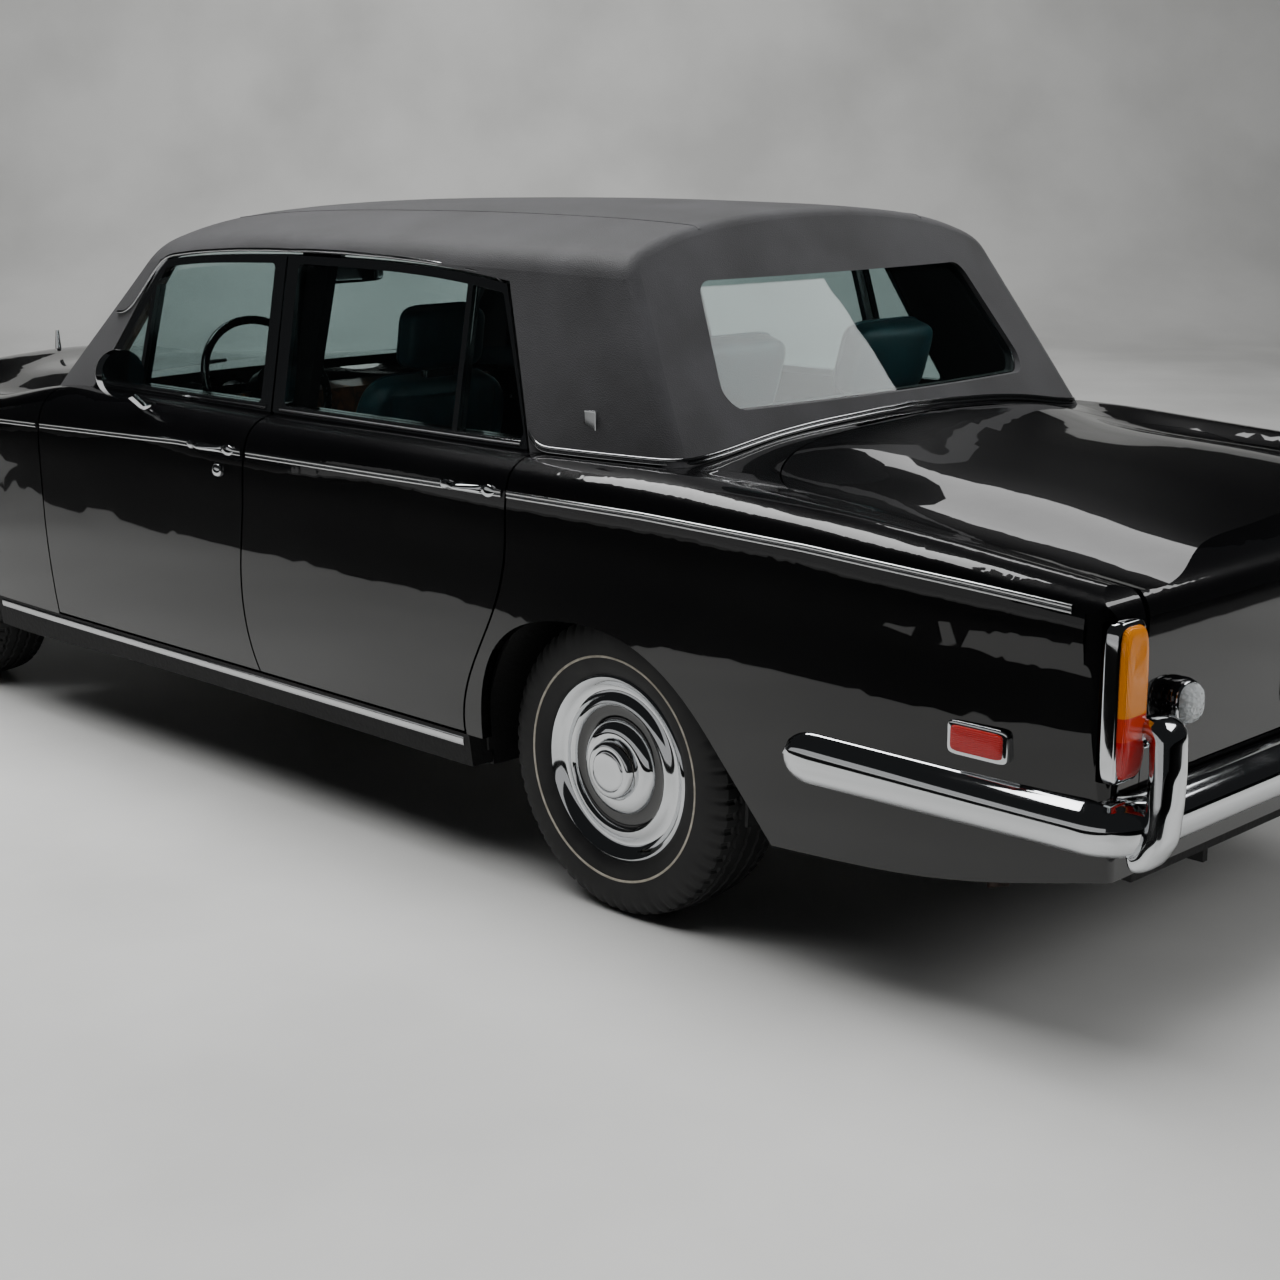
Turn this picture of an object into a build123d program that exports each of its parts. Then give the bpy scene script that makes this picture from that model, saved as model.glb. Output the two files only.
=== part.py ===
"""Luxury saloon car, four doors, vinyl-covered roof: the whole vehicle in millimetres.

While modelling, X runs forward from the rear axle, Y to the car's left and Z up from the
ground. The export moves every piece so that the origin is under the middle of the car.
"""
from build123d import *
import os
from math import atan2, cos, hypot, radians, sin, sqrt, tan

# ---- driving sizes -------------------------------------------------------------------
WHEELBASE = 3035
REAR_OVERHANG = 1330        # rear axle to the back face of the rear overriders
FRONT_OVERHANG = 804        # front axle to the front face of the front overriders
TRACK = 1460
ROOF_HEIGHT = 1518
WAIST_HALF_WIDTH = 897      # widest point of the doors
CROWN_HEIGHT = 998          # top of the door shoulder, where the window frames stand
CROWN_HALF_WIDTH = 800
CANT_HEIGHT = 1393          # top of the door frames
CANT_HALF_WIDTH = 702
SILL_TUCK = 34              # how far the body side curves in from waist to sill
TAIL_X = -1262              # back face of the body
NOSE_X = WHEELBASE + 620    # front face of the front wings
PANEL = 28                  # thickness of wings, lids and deck
TAIL_CORNER_R = 46          # corners of the tail, seen from above
TAIL_ROLL = ((0, -74), (3, -46), (12, -25), (28, -9), (50, 3.5), (80, 16.5), (110, 27), (150, 41))
LID_BACK = 46               # thickness of the boot lid's upright back
DOOR_THICKNESS = 60
ROOF_ROLL_R = 40            # where the roof and its sides turn into the rear window's surround
PILLAR = 40                 # thickness of the roof wall, pillars and window frames
GLASS = 5
SHUT_GAP = 7                # gap round doors and lids
SEAT_GAP = 0.3              # working clearance between pieces that rest on each other
LEAST_SHOULDER = 12         # smallest radius of the shoulder inside a thick wall

# doors
DOOR_FRONT_X = 2262         # leading edge of the front doors
DOOR_SPLIT_X = 1251         # shut line between front and rear doors
DOOR_REAR_X = 262           # trailing edge of the rear doors at the waist
SILL_TOP = 337
DOOR_BOTTOM = SILL_TOP + 7
FRAME_BEVEL = 20            # degrees, slant of the upper shut faces that lets the frames pass
FRAME_POST = 50             # width of a window frame's upright
FRAME_TOP = 24              # height of a window frame's top rail
FRAME_LOW = CROWN_HEIGHT - 12
SHOULDER_CLEARANCE = 6      # rear door's frame above the front door's shoulder, which it swings over
WINDOW_LOW = CROWN_HEIGHT + 24
WINDOW_BAR = 18
HINGE_SETBACK = 80          # hinge pin behind the leading edge of its door
HINGE_INSET = 17.5          # hinge pin inside the widest point of its door
HINGE_LEVELS = (560, 800)
HINGE_PIN_R = 5
HINGE_BARREL_R = 6.5
HINGE_STRAP = 34            # height of the hinge strap
POST_FACES_Y = (782, 740)   # outer faces of the front and rear hinge pillars, clear of the swinging doors
POST_BACK_Y = 716           # inner face of both

# lids
BONNET_REAR_X = 2480
BOOT_FRONT_X = -200

# wheels and running gear
TYRE_R = 336
TYRE_WIDTH = 208
RIM_R = 190
RIM_WIDTH = 152
STUB_R = 30
BORE_CLEARANCE = 0.3
FRONT_ARCH_R = 395
KINGPIN_Y = 690
KNUCKLE_REACH = 110         # ball joints above and below the hub
ARM_Y = 300                 # inner pivots of the front suspension arms

# inside
FLOOR_Z = 250
HEEL_BOARD_X = 430          # behind it the floor is the boot's
DASH_X = 2635               # ahead of it only the engine bay's inner walls go on
FLOOR_THICKNESS = 16
CABIN_FOOT = 900            # the cabin's solid starts below the crown and is trimmed by the body
JACK_PADS = (640, 2100)
JACK_Y = 750
TOW_EYES = ((-1150, 295, 372), (NOSE_X - 64, 270, 462))      # x, lowest and highest point
TOW_Y = 360
TOW_EYE_R = 12


# ---- helpers -------------------------------------------------------------------------
def line(*knots):
    """Smooth line through (x, value) knots, rising in x: cubics that never overshoot."""
    xs = [float(k[0]) for k in knots]
    ys = [float(k[1]) for k in knots]
    steps = [(ys[i + 1] - ys[i]) / (xs[i + 1] - xs[i]) for i in range(len(xs) - 1)]
    slopes = [steps[0]]
    for a, b in zip(steps, steps[1:]):
        slopes.append(2 * a * b / (a + b) if a * b > 0 else 0.0)
    slopes.append(steps[-1])

    def value(x):
        if x <= xs[0]:
            return ys[0] + slopes[0] * (x - xs[0])
        if x >= xs[-1]:
            return ys[-1] + slopes[-1] * (x - xs[-1])
        i = max(k for k in range(len(xs) - 1) if xs[k] <= x)
        h = xs[i + 1] - xs[i]
        u = (x - xs[i]) / h
        return (ys[i] * (1 + 2 * u) * (1 - u) ** 2 + slopes[i] * h * u * (1 - u) ** 2
                + ys[i + 1] * u * u * (3 - 2 * u) + slopes[i + 1] * h * u * u * (u - 1))

    return value


def polygon(*corners):
    return make_face(Polyline(*corners, close=True))


def prism_x(face, x0, x1):
    """Face drawn in (y, z), extruded along the car from x0 to x1."""
    return Plane.YZ.offset(x0) * extrude(face, x1 - x0, dir=(0, 0, 1))


def prism_y(face, y0, y1):
    """Face drawn in (x, z), extruded across the car from y0 to y1."""
    return Plane.XZ.offset(-y1) * extrude(face, y1 - y0, dir=(0, 0, 1))


def prism_z(face, z0, z1):
    """Face drawn in (x, y), extruded upwards from z0 to z1."""
    return Pos(0, 0, z0) * extrude(face, z1 - z0, dir=(0, 0, 1))


def block(x0, x1, y0, y1, z0, z1):
    """Box between two corners."""
    return Pos((x0 + x1) / 2, (y0 + y1) / 2, (z0 + z1) / 2) * Box(x1 - x0, y1 - y0, z1 - z0)


def rod(start, end, radius):
    """Round bar from start to end."""
    axis = Vector(*end) - Vector(*start)
    return Plane(origin=start, z_dir=axis) * extrude(Circle(radius), axis.length)


def mirrored(shape):
    """The same piece on the other side of the car."""
    return mirror(shape, Plane.XZ)


def slanted(face, outer_y=CROWN_HALF_WIDTH + 60, inner_y=CROWN_HALF_WIDTH - 260):
    """Face drawn in (x, z) at the crown, extruded inboard and forward by the frame bevel."""
    run = tan(radians(FRAME_BEVEL))
    start = Plane.XZ.offset(-outer_y) * Pos(-(outer_y - CROWN_HALF_WIDTH) * run, 0) * face
    length = (outer_y - inner_y) * sqrt(1 + run ** 2)
    return extrude(start, length, dir=(run, -1, 0))


# ---- character lines of the body, as functions of x -----------------------------------
waist_y = line((TAIL_X, WAIST_HALF_WIDTH - 27), (-600, WAIST_HALF_WIDTH - 7),
               (400, WAIST_HALF_WIDTH), (2000, WAIST_HALF_WIDTH),
               (WHEELBASE, WAIST_HALF_WIDTH - 19), (NOSE_X, WAIST_HALF_WIDTH - 62))
waist_z = line((TAIL_X, 880), (-600, 912), (0, 921), (1250, 909), (2300, 888), (NOSE_X, 808))
sill_z = line((TAIL_X, 395), (-900, 318), (-500, 285), (500, 258), (1700, 262),
              (2500, 245), (NOSE_X, 330))
crown_y = line((TAIL_X, CROWN_HALF_WIDTH - 8), (-300, CROWN_HALF_WIDTH),
               (2150, CROWN_HALF_WIDTH), (2700, CROWN_HALF_WIDTH - 38),
               (NOSE_X, CROWN_HALF_WIDTH - 60))
crown_z = line((TAIL_X, CROWN_HEIGHT - 84), (-648, CROWN_HEIGHT - 28), (-285, CROWN_HEIGHT - 7),
               (-100, CROWN_HEIGHT), (2150, CROWN_HEIGHT), (2350, CROWN_HEIGHT - 18),
               (2700, CROWN_HEIGHT - 72), (NOSE_X, CROWN_HEIGHT - 126))
edge_y = line((TAIL_X, 760), (-914, 712), (-345, 652), (-100, 742), (2200, 742), (2480, 690),
              (NOSE_X, 600))
edge_z = line((TAIL_X, CROWN_HEIGHT - 92), (-914, CROWN_HEIGHT - 64), (-345, CROWN_HEIGHT - 22),
              (-100, CROWN_HEIGHT), (2150, CROWN_HEIGHT), (2350, CROWN_HEIGHT - 24),
              (2700, CROWN_HEIGHT - 86), (NOSE_X, CROWN_HEIGHT - 138))
spine_z = line((TAIL_X, CROWN_HEIGHT - 68), (-1000, CROWN_HEIGHT - 34), (-600, CROWN_HEIGHT + 14),
               (-200, CROWN_HEIGHT + 50), (-80, CROWN_HEIGHT + 58), (200, CROWN_HEIGHT + 16),
               (2000, CROWN_HEIGHT + 14), (2480, CROWN_HEIGHT - 2), (3417, CROWN_HEIGHT - 46),
               (NOSE_X, CROWN_HEIGHT - 64))

# cabin
cabin_y = line((-250, CROWN_HALF_WIDTH - 74), (-120, CROWN_HALF_WIDTH - 58),
               (100, CROWN_HALF_WIDTH - 25), (400, CROWN_HALF_WIDTH), (2050, CROWN_HALF_WIDTH),
               (2420, CROWN_HALF_WIDTH - 35))
cant_y = line((100, CANT_HALF_WIDTH - 54), (600, CANT_HALF_WIDTH - 4), (1300, CANT_HALF_WIDTH),
              (2050, CANT_HALF_WIDTH - 26))
cant_z = line((100, CANT_HEIGHT - 20), (600, CANT_HEIGHT - 6), (1200, CANT_HEIGHT),
              (1500, CANT_HEIGHT - 6), (1950, CANT_HEIGHT - 48), (2300, CANT_HEIGHT - 110))
frame_top_z = line((478, CANT_HEIGHT - 35), (607, CANT_HEIGHT - 20), (830, CANT_HEIGHT - 6),
                   (1200, CANT_HEIGHT - 1), (1500, CANT_HEIGHT - 8), (1789, CANT_HEIGHT - 25),
                   (1951, CANT_HEIGHT - 49))
roof_z = line((-100, ROOF_HEIGHT - 40), (190, ROOF_HEIGHT - 9), (750, ROOF_HEIGHT),
              (1410, ROOF_HEIGHT - 9), (1875, ROOF_HEIGHT - 31), (2200, ROOF_HEIGHT - 70))

BODY_STATIONS = ([TAIL_X, TAIL_X + 60, TAIL_X + 160, TAIL_X + 320, TAIL_X + 600, TAIL_X + 900]
                 + [-136, 150, 400, 900, 1500, 2000, 2250, 2480, 2750]
                 + [WHEELBASE, NOSE_X - 300, NOSE_X])
CABIN_STATIONS = (-280, -40, 200, 480, 830, 1200, 1600, 1950, 2250, 2600)


# ---- master surfaces -------------------------------------------------------------------
def side_points(x, inset=0.0):
    """Body half section at x as (y, z): sill, waist, crown, lid or bonnet edge, middle."""
    points = []
    for share in (1.0, 0.8, 0.6, 0.4, 0.2, 0.0):
        points.append((waist_y(x) - inset - SILL_TUCK * share ** 3,
                       waist_z(x) - (waist_z(x) - sill_z(x)) * share))
    reach = max(waist_y(x) - crown_y(x) - inset, LEAST_SHOULDER)
    rise = max(crown_z(x) - waist_z(x) - inset, LEAST_SHOULDER)
    for turn in (30, 60, 85):
        points.append((waist_y(x) - inset - reach * (1 - cos(radians(turn))),
                       waist_z(x) + rise * sin(radians(turn))))
    drop = crown_z(x) - waist_z(x) - rise
    top = waist_y(x) - inset - reach
    points.append(((top + edge_y(x)) / 2, (crown_z(x) + edge_z(x)) / 2 - drop))
    for share in (1.0, 0.66, 0.33, 0.0):
        points.append((edge_y(x) * share,
                       spine_z(x) - (spine_z(x) - edge_z(x)) * share ** 2 - drop))
    return points


def through(x, points, count=14):
    """Spline through (y, z) points at station x, or its first part up to the count-th point."""
    knots = [Vector(x, y, z) for y, z in points]
    curve = Spline(*knots)
    if count >= len(knots):
        return curve
    end = curve.param_at_point(knots[count - 1])
    return Spline(*knots[:count], tangents=(curve % 0, curve % end))


def solid_section(x, curve):
    """Face between a curve that ends on the car's middle and a flat foot."""
    start = curve @ 0
    foot = (x, 0, start.Z)
    return make_face(curve + Line(curve @ 1, foot) + Line(foot, start))


def band_section(outer, inner):
    """Face between an outer and an inner curve."""
    return make_face(outer + Line(outer @ 1, inner @ 1) + inner + Line(inner @ 0, outer @ 0))


def body_log(inset=0.0):
    """Left half of the body as one solid, moved in by inset."""
    return loft([solid_section(x, through(x, side_points(x, inset))) for x in BODY_STATIONS])


def body_wall(thickness, count=14):
    """Left half of the body's skin; count is how many section points it takes from the sill."""
    faces = []
    for x in BODY_STATIONS:
        outer = through(x, side_points(x), count)
        faces.append(band_section(outer, through(x, side_points(x, thickness), count)))
    return loft(faces)


def roof_curve(x, inset=0.0, foot_z=CABIN_FOOT):
    """Cabin section at x: leaning side, cant rail and the roof's arc to the middle."""
    lean = atan2(cabin_y(x) - cant_y(x), cant_z(x) - CROWN_HEIGHT)
    reach = cant_y(x) - inset / cos(lean)
    rise = roof_z(x) - cant_z(x) - inset
    arc = []
    for turn in (0, 15, 30, 45, 60, 75, 90):
        arc.append((reach * cos(radians(turn)), cant_z(x) + rise * sin(radians(turn))))
    curve = through(x, arc)
    foot = (x, reach + (cant_z(x) - foot_z) * tan(lean), foot_z)
    return Line(foot, curve @ 0) + curve


def cabin_log(inset=0.0, foot_z=CABIN_FOOT):
    """Left half of the cabin as one solid, long enough to be cut by both screens."""
    return loft([solid_section(x, roof_curve(x, inset, foot_z)) for x in CABIN_STATIONS])


def cabin_wall(outer, inner):
    """Left half of the cabin's skin between two depths."""
    return loft([band_section(roof_curve(x, outer), roof_curve(x, inner)) for x in CABIN_STATIONS])


# ---- screens ---------------------------------------------------------------------------
SCREEN_LOW = 880
SCREEN_HIGH = 1560
SCREEN_REACH = 1000
SCREEN_INSET = 14
REAR_SCREEN = (-260, 0.656, 60)      # x at SCREEN_LOW on the middle, slope, bow at the sides
FRONT_SCREEN = (2585, -1.057, -120)


def screen_band(screen, near, far):
    """Curved leaning slab between two depths (positive forward) of a screen's surface."""
    middle, slope, bow = screen
    ends = []
    for depth in (near, far):
        x = middle + depth * sqrt(1 + slope ** 2)
        far = bow * (SCREEN_REACH / 700) ** 2
        ends.append(ThreePointArc((x + far, -SCREEN_REACH), (x, 0), (x + far, SCREEN_REACH)))
    a, b = ends
    face = make_face(a + Line(a @ 1, b @ 1) + b + Line(b @ 0, a @ 0))
    rise = SCREEN_HIGH - SCREEN_LOW
    return extrude(Pos(0, 0, SCREEN_LOW) * face, rise * sqrt(1 + slope ** 2), dir=(slope, 0, 1))


def window_yz(low_half, low_z, high_half, high_z, radius, x0, x1):
    """Trapezium with rounded corners seen from the front, extruded along the car."""
    face = polygon((-low_half, low_z), (low_half, low_z), (high_half, high_z), (-high_half, high_z))
    return prism_x(fillet(face.vertices(), radius), x0, x1)


def rear_window(grow=0.0):
    return window_yz(558 + grow, 1096 - grow, 474 + grow, 1364 + grow, 45, -600, 300)


def front_window(grow=0.0):
    return window_yz(690 + grow, 990 - grow, 600 + grow, 1384 + grow, 55, 1700, 2700)


# ---- zones ---------------------------------------------------------------------------------
FRONT_EDGE = [(DOOR_FRONT_X - 12, SILL_TOP + SEAT_GAP), (DOOR_FRONT_X, 600), (DOOR_FRONT_X - 4, 860),
              (DOOR_FRONT_X - 18, CROWN_HEIGHT + 12)]
SPLIT_EDGE = [(DOOR_SPLIT_X, SILL_TOP + SEAT_GAP), (DOOR_SPLIT_X + 38, 619), (DOOR_SPLIT_X, 897),
              (DOOR_SPLIT_X + 6, CROWN_HEIGHT + 12)]
REAR_EDGE = [(DOOR_REAR_X + 182, SILL_TOP + SEAT_GAP), (DOOR_REAR_X + 180, 390),
             (DOOR_REAR_X + 160, 458), (DOOR_REAR_X + 108, 556), (DOOR_REAR_X + 44, 670),
             (DOOR_REAR_X + 6, 800), (DOOR_REAR_X, 930), (DOOR_REAR_X + 8, CROWN_HEIGHT + 12)]
FRONT_FRAME = ((DOOR_SPLIT_X + 9, DOOR_SPLIT_X + 9), (2122, 1872))
REAR_FRAME = ((290, 424), (DOOR_SPLIT_X + 9, DOOR_SPLIT_X + 9))
VENT_BAR_X = 1881
QUARTER_BAR_X = 548


def shifted(points, dx):
    return [(x + dx, z) for x, z in points]


def between(rear, front):
    """Face between a rear and a front edge, each drawn upwards."""
    a, b = Spline(*rear), Spline(*front)
    return make_face(a + Line(a @ 1, b @ 1) + b + Line(b @ 0, a @ 0))


def frame_face(ends, grow=0.0, low=FRAME_LOW):
    """Door frame seen from the side, drawn at the crown, moved out by grow."""
    (rear_low, rear_high), (front_low, front_high) = ends
    shift = (CROWN_HALF_WIDTH - CANT_HALF_WIDTH) * tan(radians(FRAME_BEVEL))
    x0, x1 = rear_high - grow, front_high + grow
    xs = [x0 + (x1 - x0) * share for share in (0, 0.25, 0.5, 0.75, 1)]
    top = Spline(*[(x, frame_top_z(x + shift) + grow) for x in xs])
    return make_face(top + Polyline(top @ 1, (front_low + grow, low), (rear_low - grow, low), top @ 0))


def window_face(ends, rear_post, front_post):
    """Window inside a door frame."""
    (rear_low, rear_high), (front_low, front_high) = ends
    inner = ((rear_low + rear_post, rear_high + rear_post),
             (front_low - front_post, front_high - front_post))
    face = frame_face(inner, 0.0, WINDOW_LOW)
    face = Pos(0, -FRAME_TOP) * face
    face &= Pos(0, WINDOW_LOW) * Rectangle(9000, 900, align=(Align.CENTER, Align.MIN))
    return fillet(face.vertices(), 14)


def bar_face(x):
    return polygon((x - WINDOW_BAR / 2, WINDOW_LOW - 10), (x + WINDOW_BAR / 2, WINDOW_LOW - 10),
                   (x + WINDOW_BAR / 2, CANT_HEIGHT + 20), (x - WINDOW_BAR / 2, CANT_HEIGHT + 20))


def upper_shut(x, ahead):
    """Plan zone ahead of or behind the bevelled shut face that starts at x, for cutting."""
    run = tan(radians(FRAME_BEVEL))
    knee, deep = CROWN_HALF_WIDTH + 30, 500
    far = x + 400 if ahead else x - 400
    return prism_z(polygon((far, 960), (x, 960), (x, knee), (x + (knee - deep) * run, deep),
                           (far, deep)), 945, CROWN_HEIGHT + 30)


def arch_face(front, grow=0.0):
    """Wheel opening in (x, z): round at the front, flatter and trailing at the back."""
    if front:
        return Pos(WHEELBASE, 330) * Circle(FRONT_ARCH_R + grow)
    g = grow
    edge = Spline((384 + g, 200), (382 + g, 330), (366 + g, 460), (322 + g * 0.8, 556 + g * 0.6),
                  (240 + g * 0.5, 624 + g * 0.9), (120, 658 + g), (0, 664 + g),
                  (-100, 648 + g), (-196 - g * 0.5, 606 + g * 0.9), (-290 - g * 0.7, 532 + g * 0.7),
                  (-376 - g * 0.8, 432 + g * 0.6), (-470 - g, 310), (-540 - g, 200))
    return make_face(edge + Line(edge @ 1, edge @ 0))


def lid_plan(grow=0.0):
    """Boot lid seen from above."""
    xs = [BOOT_FRONT_X - 130, -600, -914, TAIL_X - 40]
    side = [(x, edge_y(x) - SHUT_GAP / 2 + grow) for x in xs]
    corner = (BOOT_FRONT_X - 78 + grow * 0.7, 600 + grow * 0.7)
    front = Spline((BOOT_FRONT_X + grow, 0), (BOOT_FRONT_X - 18 + grow, 320), corner, side[0], side[1])
    rest = Polyline(side[1], side[2], side[3], (side[3][0], 0), (BOOT_FRONT_X + grow, 0))
    return make_face(front + rest)


def bonnet_plan(grow=0.0):
    """Bonnet seen from above."""
    xs = [BONNET_REAR_X, 2750, WHEELBASE, 3350, NOSE_X - PANEL - 1]
    rear = BONNET_REAR_X + SHUT_GAP / 2 - grow
    side = [(x, edge_y(x) - SHUT_GAP / 2 + grow) for x in xs]
    side[0] = (rear, side[0][1])
    side[-1] = (side[-1][0] + grow, side[-1][1])
    edge = Spline(*side)
    return make_face(edge + Polyline(edge @ 1, (side[-1][0], 0), (rear, 0), edge @ 0))


def lid_back(grow=0.0):
    """Boot lid seen from behind, as (y, z)."""
    curve = Spline((752 + grow, 1200), (752 + grow, 760), (738 + grow, 680 - grow * 0.3),
                   (700 + grow * 0.7, 612 - grow * 0.7), (640 + grow * 0.3, 576 - grow), (560, 566 - grow))
    return make_face(curve + Polyline(curve @ 1, (0, 566 - grow), (0, 1200), curve @ 0))


# ---- lid hinges -----------------------------------------------------------------------------
BONNET_AXIS = (BONNET_REAR_X + 0.5, CROWN_HEIGHT - 2)
BOOT_AXIS = (BOOT_FRONT_X + SHUT_GAP / 2, 1048)
LID_COVE_R = 11             # cove in the deck panel that the lid's crowned front edge swings in
LID_COVE_Y = 260            # how far the cove runs from the middle
BONNET_SWEEP = (2488, 2580, 692, 953)   # start, end, side and top of the room under the wing's edge
LID_HINGE_Y = 150
LID_PIN_R = 3
LID_BARREL_R = 6
LID_STRAP = 38              # how far a strap reaches from the pin, along and down


def barrel(axis, y0, y1, radius):
    return rod((axis[0], y0, axis[1]), (axis[0], y1, axis[1]), radius)


def hinge_leaf(axis, y0, y1, reach):
    """Barrel with the strap that carries it; reach is how far forward the strap runs."""
    x, z = axis
    strap = block(min(x, x + reach), max(x, x + reach), y0, y1, z - LID_STRAP, z - 7)
    return barrel(axis, y0, y1, LID_BARREL_R) + strap


def fixed_hinge(panel, axis, reach):
    """Left half of a body panel with its hinge barrel and pin, and room for the lid's barrels."""
    y, room = LID_HINGE_Y, LID_BARREL_R + 5
    panel = panel.cut(barrel(axis, y - 45, y - 15, room), barrel(axis, y + 15, y + 45, room))
    return panel.fuse(hinge_leaf(axis, y - 15, y + 15, reach) + barrel(axis, y - 38, y + 38, LID_PIN_R))


def lid_hinge(lid, axis, reach):
    """Left half of a lid with the two barrels that turn on the body's pin."""
    y, room = LID_HINGE_Y, LID_BARREL_R + 5
    leaves = [hinge_leaf(axis, near, far, reach) - barrel(axis, near - 1, far + 1, LID_PIN_R + BORE_CLEARANCE)
              for near, far in ((y - 40, y - 15 - SEAT_GAP), (y + 15 + SEAT_GAP, y + 40))]
    return lid.cut(barrel(axis, y - 20, y + 20, room)).fuse(*leaves)


# ---- body panels ----------------------------------------------------------------------------
def lid_region(plan, low=500, high=1200):
    return prism_z(plan, low, high)


def front_wing(skin):
    """Left front wing: from the bonnet edge to the sill, open over the wheel."""
    rear = Spline(*shifted(FRONT_EDGE, SHUT_GAP))
    end = NOSE_X - PANEL - SEAT_GAP
    foot = SILL_TOP + SEAT_GAP
    face = make_face(rear + Polyline(rear @ 1, (end, CROWN_HEIGHT + 12), (end, 330),
                                     (WHEELBASE, 330), (WHEELBASE, foot), rear @ 0))
    wing = skin & prism_y(face, 560, 960)
    wing -= prism_y(arch_face(True), 500, 1000)
    wing -= lid_region(bonnet_plan(SHUT_GAP / 2))
    start, end, side, top = BONNET_SWEEP
    wing -= block(start, end, 560, side, 880, top)
    return wing - lid_region(scuttle_plan())


def scuttle_plan(grow=0.0):
    """Panel between bonnet and windscreen, seen from above."""
    front, back = BONNET_REAR_X - SHUT_GAP / 2, 2180
    return polygon((back - 80, 0), (front + grow, 0), (front + grow, edge_y(front) + grow),
                   (back - 80, edge_y(back) + 24 + grow))


def rear_wing(skin):
    """Left rear wing: from the rear door round to the lamp, with a raised lip at the wheel."""
    front = Spline(*shifted(REAR_EDGE, -SHUT_GAP))
    top = CROWN_HEIGHT + 12
    face = make_face(front + Polyline(front @ 1, (TAIL_X - 20, top), (TAIL_X - 20, 200), (-200, 200),
                                      (-200, SILL_TOP + SEAT_GAP), front @ 0))
    wing = skin & prism_y(face, 560, 960)
    end = Spline(*side_points(TAIL_X, PANEL / 2))
    flange = make_face(end + Polyline(end @ 1, (0, 400), end @ 0))
    wing += prism_x(flange, TAIL_X, TAIL_X + PANEL) & block(TAIL_X - 1, TAIL_X + PANEL, 757, 960, 300, 1100)
    wing -= prism_y(arch_face(False), 500, 1000)
    wing -= lid_region(lid_plan(SHUT_GAP / 2))
    wing -= lid_region(polygon((BOOT_FRONT_X - 75, 0), (400, 0), (400, 741.7), (-100, 741.7),
                               (BOOT_FRONT_X - 75, 645)), 900, 1200)
    return (wing & tail_form()) - lamp_pocket()


def lamp_pocket():
    """Recess for the tall rear lamp in the corner of the left rear wing."""
    face = Pos(826, 726) * RectangleRounded(92, 290, 20)
    return prism_x(face, TAIL_X - 40, TAIL_X + 22)


def lower_side(rear_x, front_x):
    return block(rear_x, front_x, 600, 960, 150, SILL_TOP)


def tail_form():
    """What the tail is trimmed to: round corners in plan, and a top that rolls over into the back."""
    side_y = waist_y(TAIL_X)
    turn = TAIL_CORNER_R * (1 - cos(radians(45)))
    corner = ThreePointArc((TAIL_X + TAIL_CORNER_R + 4, side_y + 2), (TAIL_X + turn, side_y - turn),
                           (TAIL_X, side_y - TAIL_CORNER_R))
    plan = make_face(corner + Polyline(corner @ 1, (TAIL_X, -1), (DOOR_SPLIT_X, -1), (DOOR_SPLIT_X, 1000),
                                       (TAIL_X + TAIL_CORNER_R + 4, 1000), corner @ 0))
    roll = Spline(*[(TAIL_X + run, crown_z(TAIL_X) + rise) for run, rise in TAIL_ROLL])
    view = make_face(roll + Polyline(roll @ 1, (TAIL_X + TAIL_ROLL[-1][0], 1200),
                                     (DOOR_SPLIT_X, 1200), (DOOR_SPLIT_X, 100),
                                     (TAIL_X, 100), roll @ 0))
    return prism_z(plan, 100, 1200) & prism_y(view, -1, 1000)


def deck_panel(skin):
    """Panel between the rear screen and the boot lid, running on inside as the parcel shelf."""
    plan = polygon((BOOT_FRONT_X - 74, 0), (230, 0), (230, 700), (60, 741.4), (-100, 741.4),
                   (BOOT_FRONT_X - 74, 644.7))
    half = (skin & lid_region(plan, 900, 1200)) - lid_region(lid_plan(SHUT_GAP / 2))
    half -= rod((BOOT_AXIS[0], -1, BOOT_AXIS[1]), (BOOT_AXIS[0], LID_COVE_Y, BOOT_AXIS[1]), LID_COVE_R)
    return half + mirrored(half)


def tail_panel(log):
    """Back panel under the boot lid."""
    half = log & block(TAIL_X - 1, TAIL_X + PANEL, -1, 756.7, 300, 760)
    half -= prism_x(lid_back(SHUT_GAP / 2), TAIL_X - 50, TAIL_X + 80)
    return half + mirrored(half)


def boot_lid(skin, log):
    """Boot lid: crowned top and upright back in one pressing."""
    half = skin & lid_region(lid_plan())
    half += log & block(TAIL_X - 1, TAIL_X + LID_BACK, -1, 960, 500, 1100)
    half = half & prism_x(lid_back(), TAIL_X - 50, 0)
    half = half & lid_region(lid_plan(), 500, 1200) & tail_form()
    return half + mirrored(half)


def bonnet(skin):
    half = lid_hinge(skin & lid_region(bonnet_plan()), BONNET_AXIS, LID_STRAP)
    return half + mirrored(half)


def scuttle(skin):
    """Panel between the bonnet and the windscreen."""
    half = skin & lid_region(scuttle_plan(-SEAT_GAP), 800, 1200)
    half -= block(2000, 2180, 0, 800, 800, 1200)
    half -= block(2100, DOOR_FRONT_X + 8, 640, 800, 800, 1200)
    half = fixed_hinge(half, BONNET_AXIS, -LID_STRAP)
    return half + mirrored(half)


def front_panel(log):
    """Upright panel that carries the headlamps, open behind the grille."""
    half = log & block(NOSE_X - PANEL, NOSE_X + 1, -1, 900, 420, 1000)
    half -= block(NOSE_X - 60, NOSE_X + 60, -1, 250, 440, 840)
    for y in LAMP_Y:
        half -= Plane.YZ.offset(NOSE_X - 60) * Pos(y, LAMP_Z) * extrude(Circle(LAMP_R - 6), 120)
    return half + mirrored(half)


LAMP_Y = (508, 690)
LAMP_Z = 700
LAMP_R = 84


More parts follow.
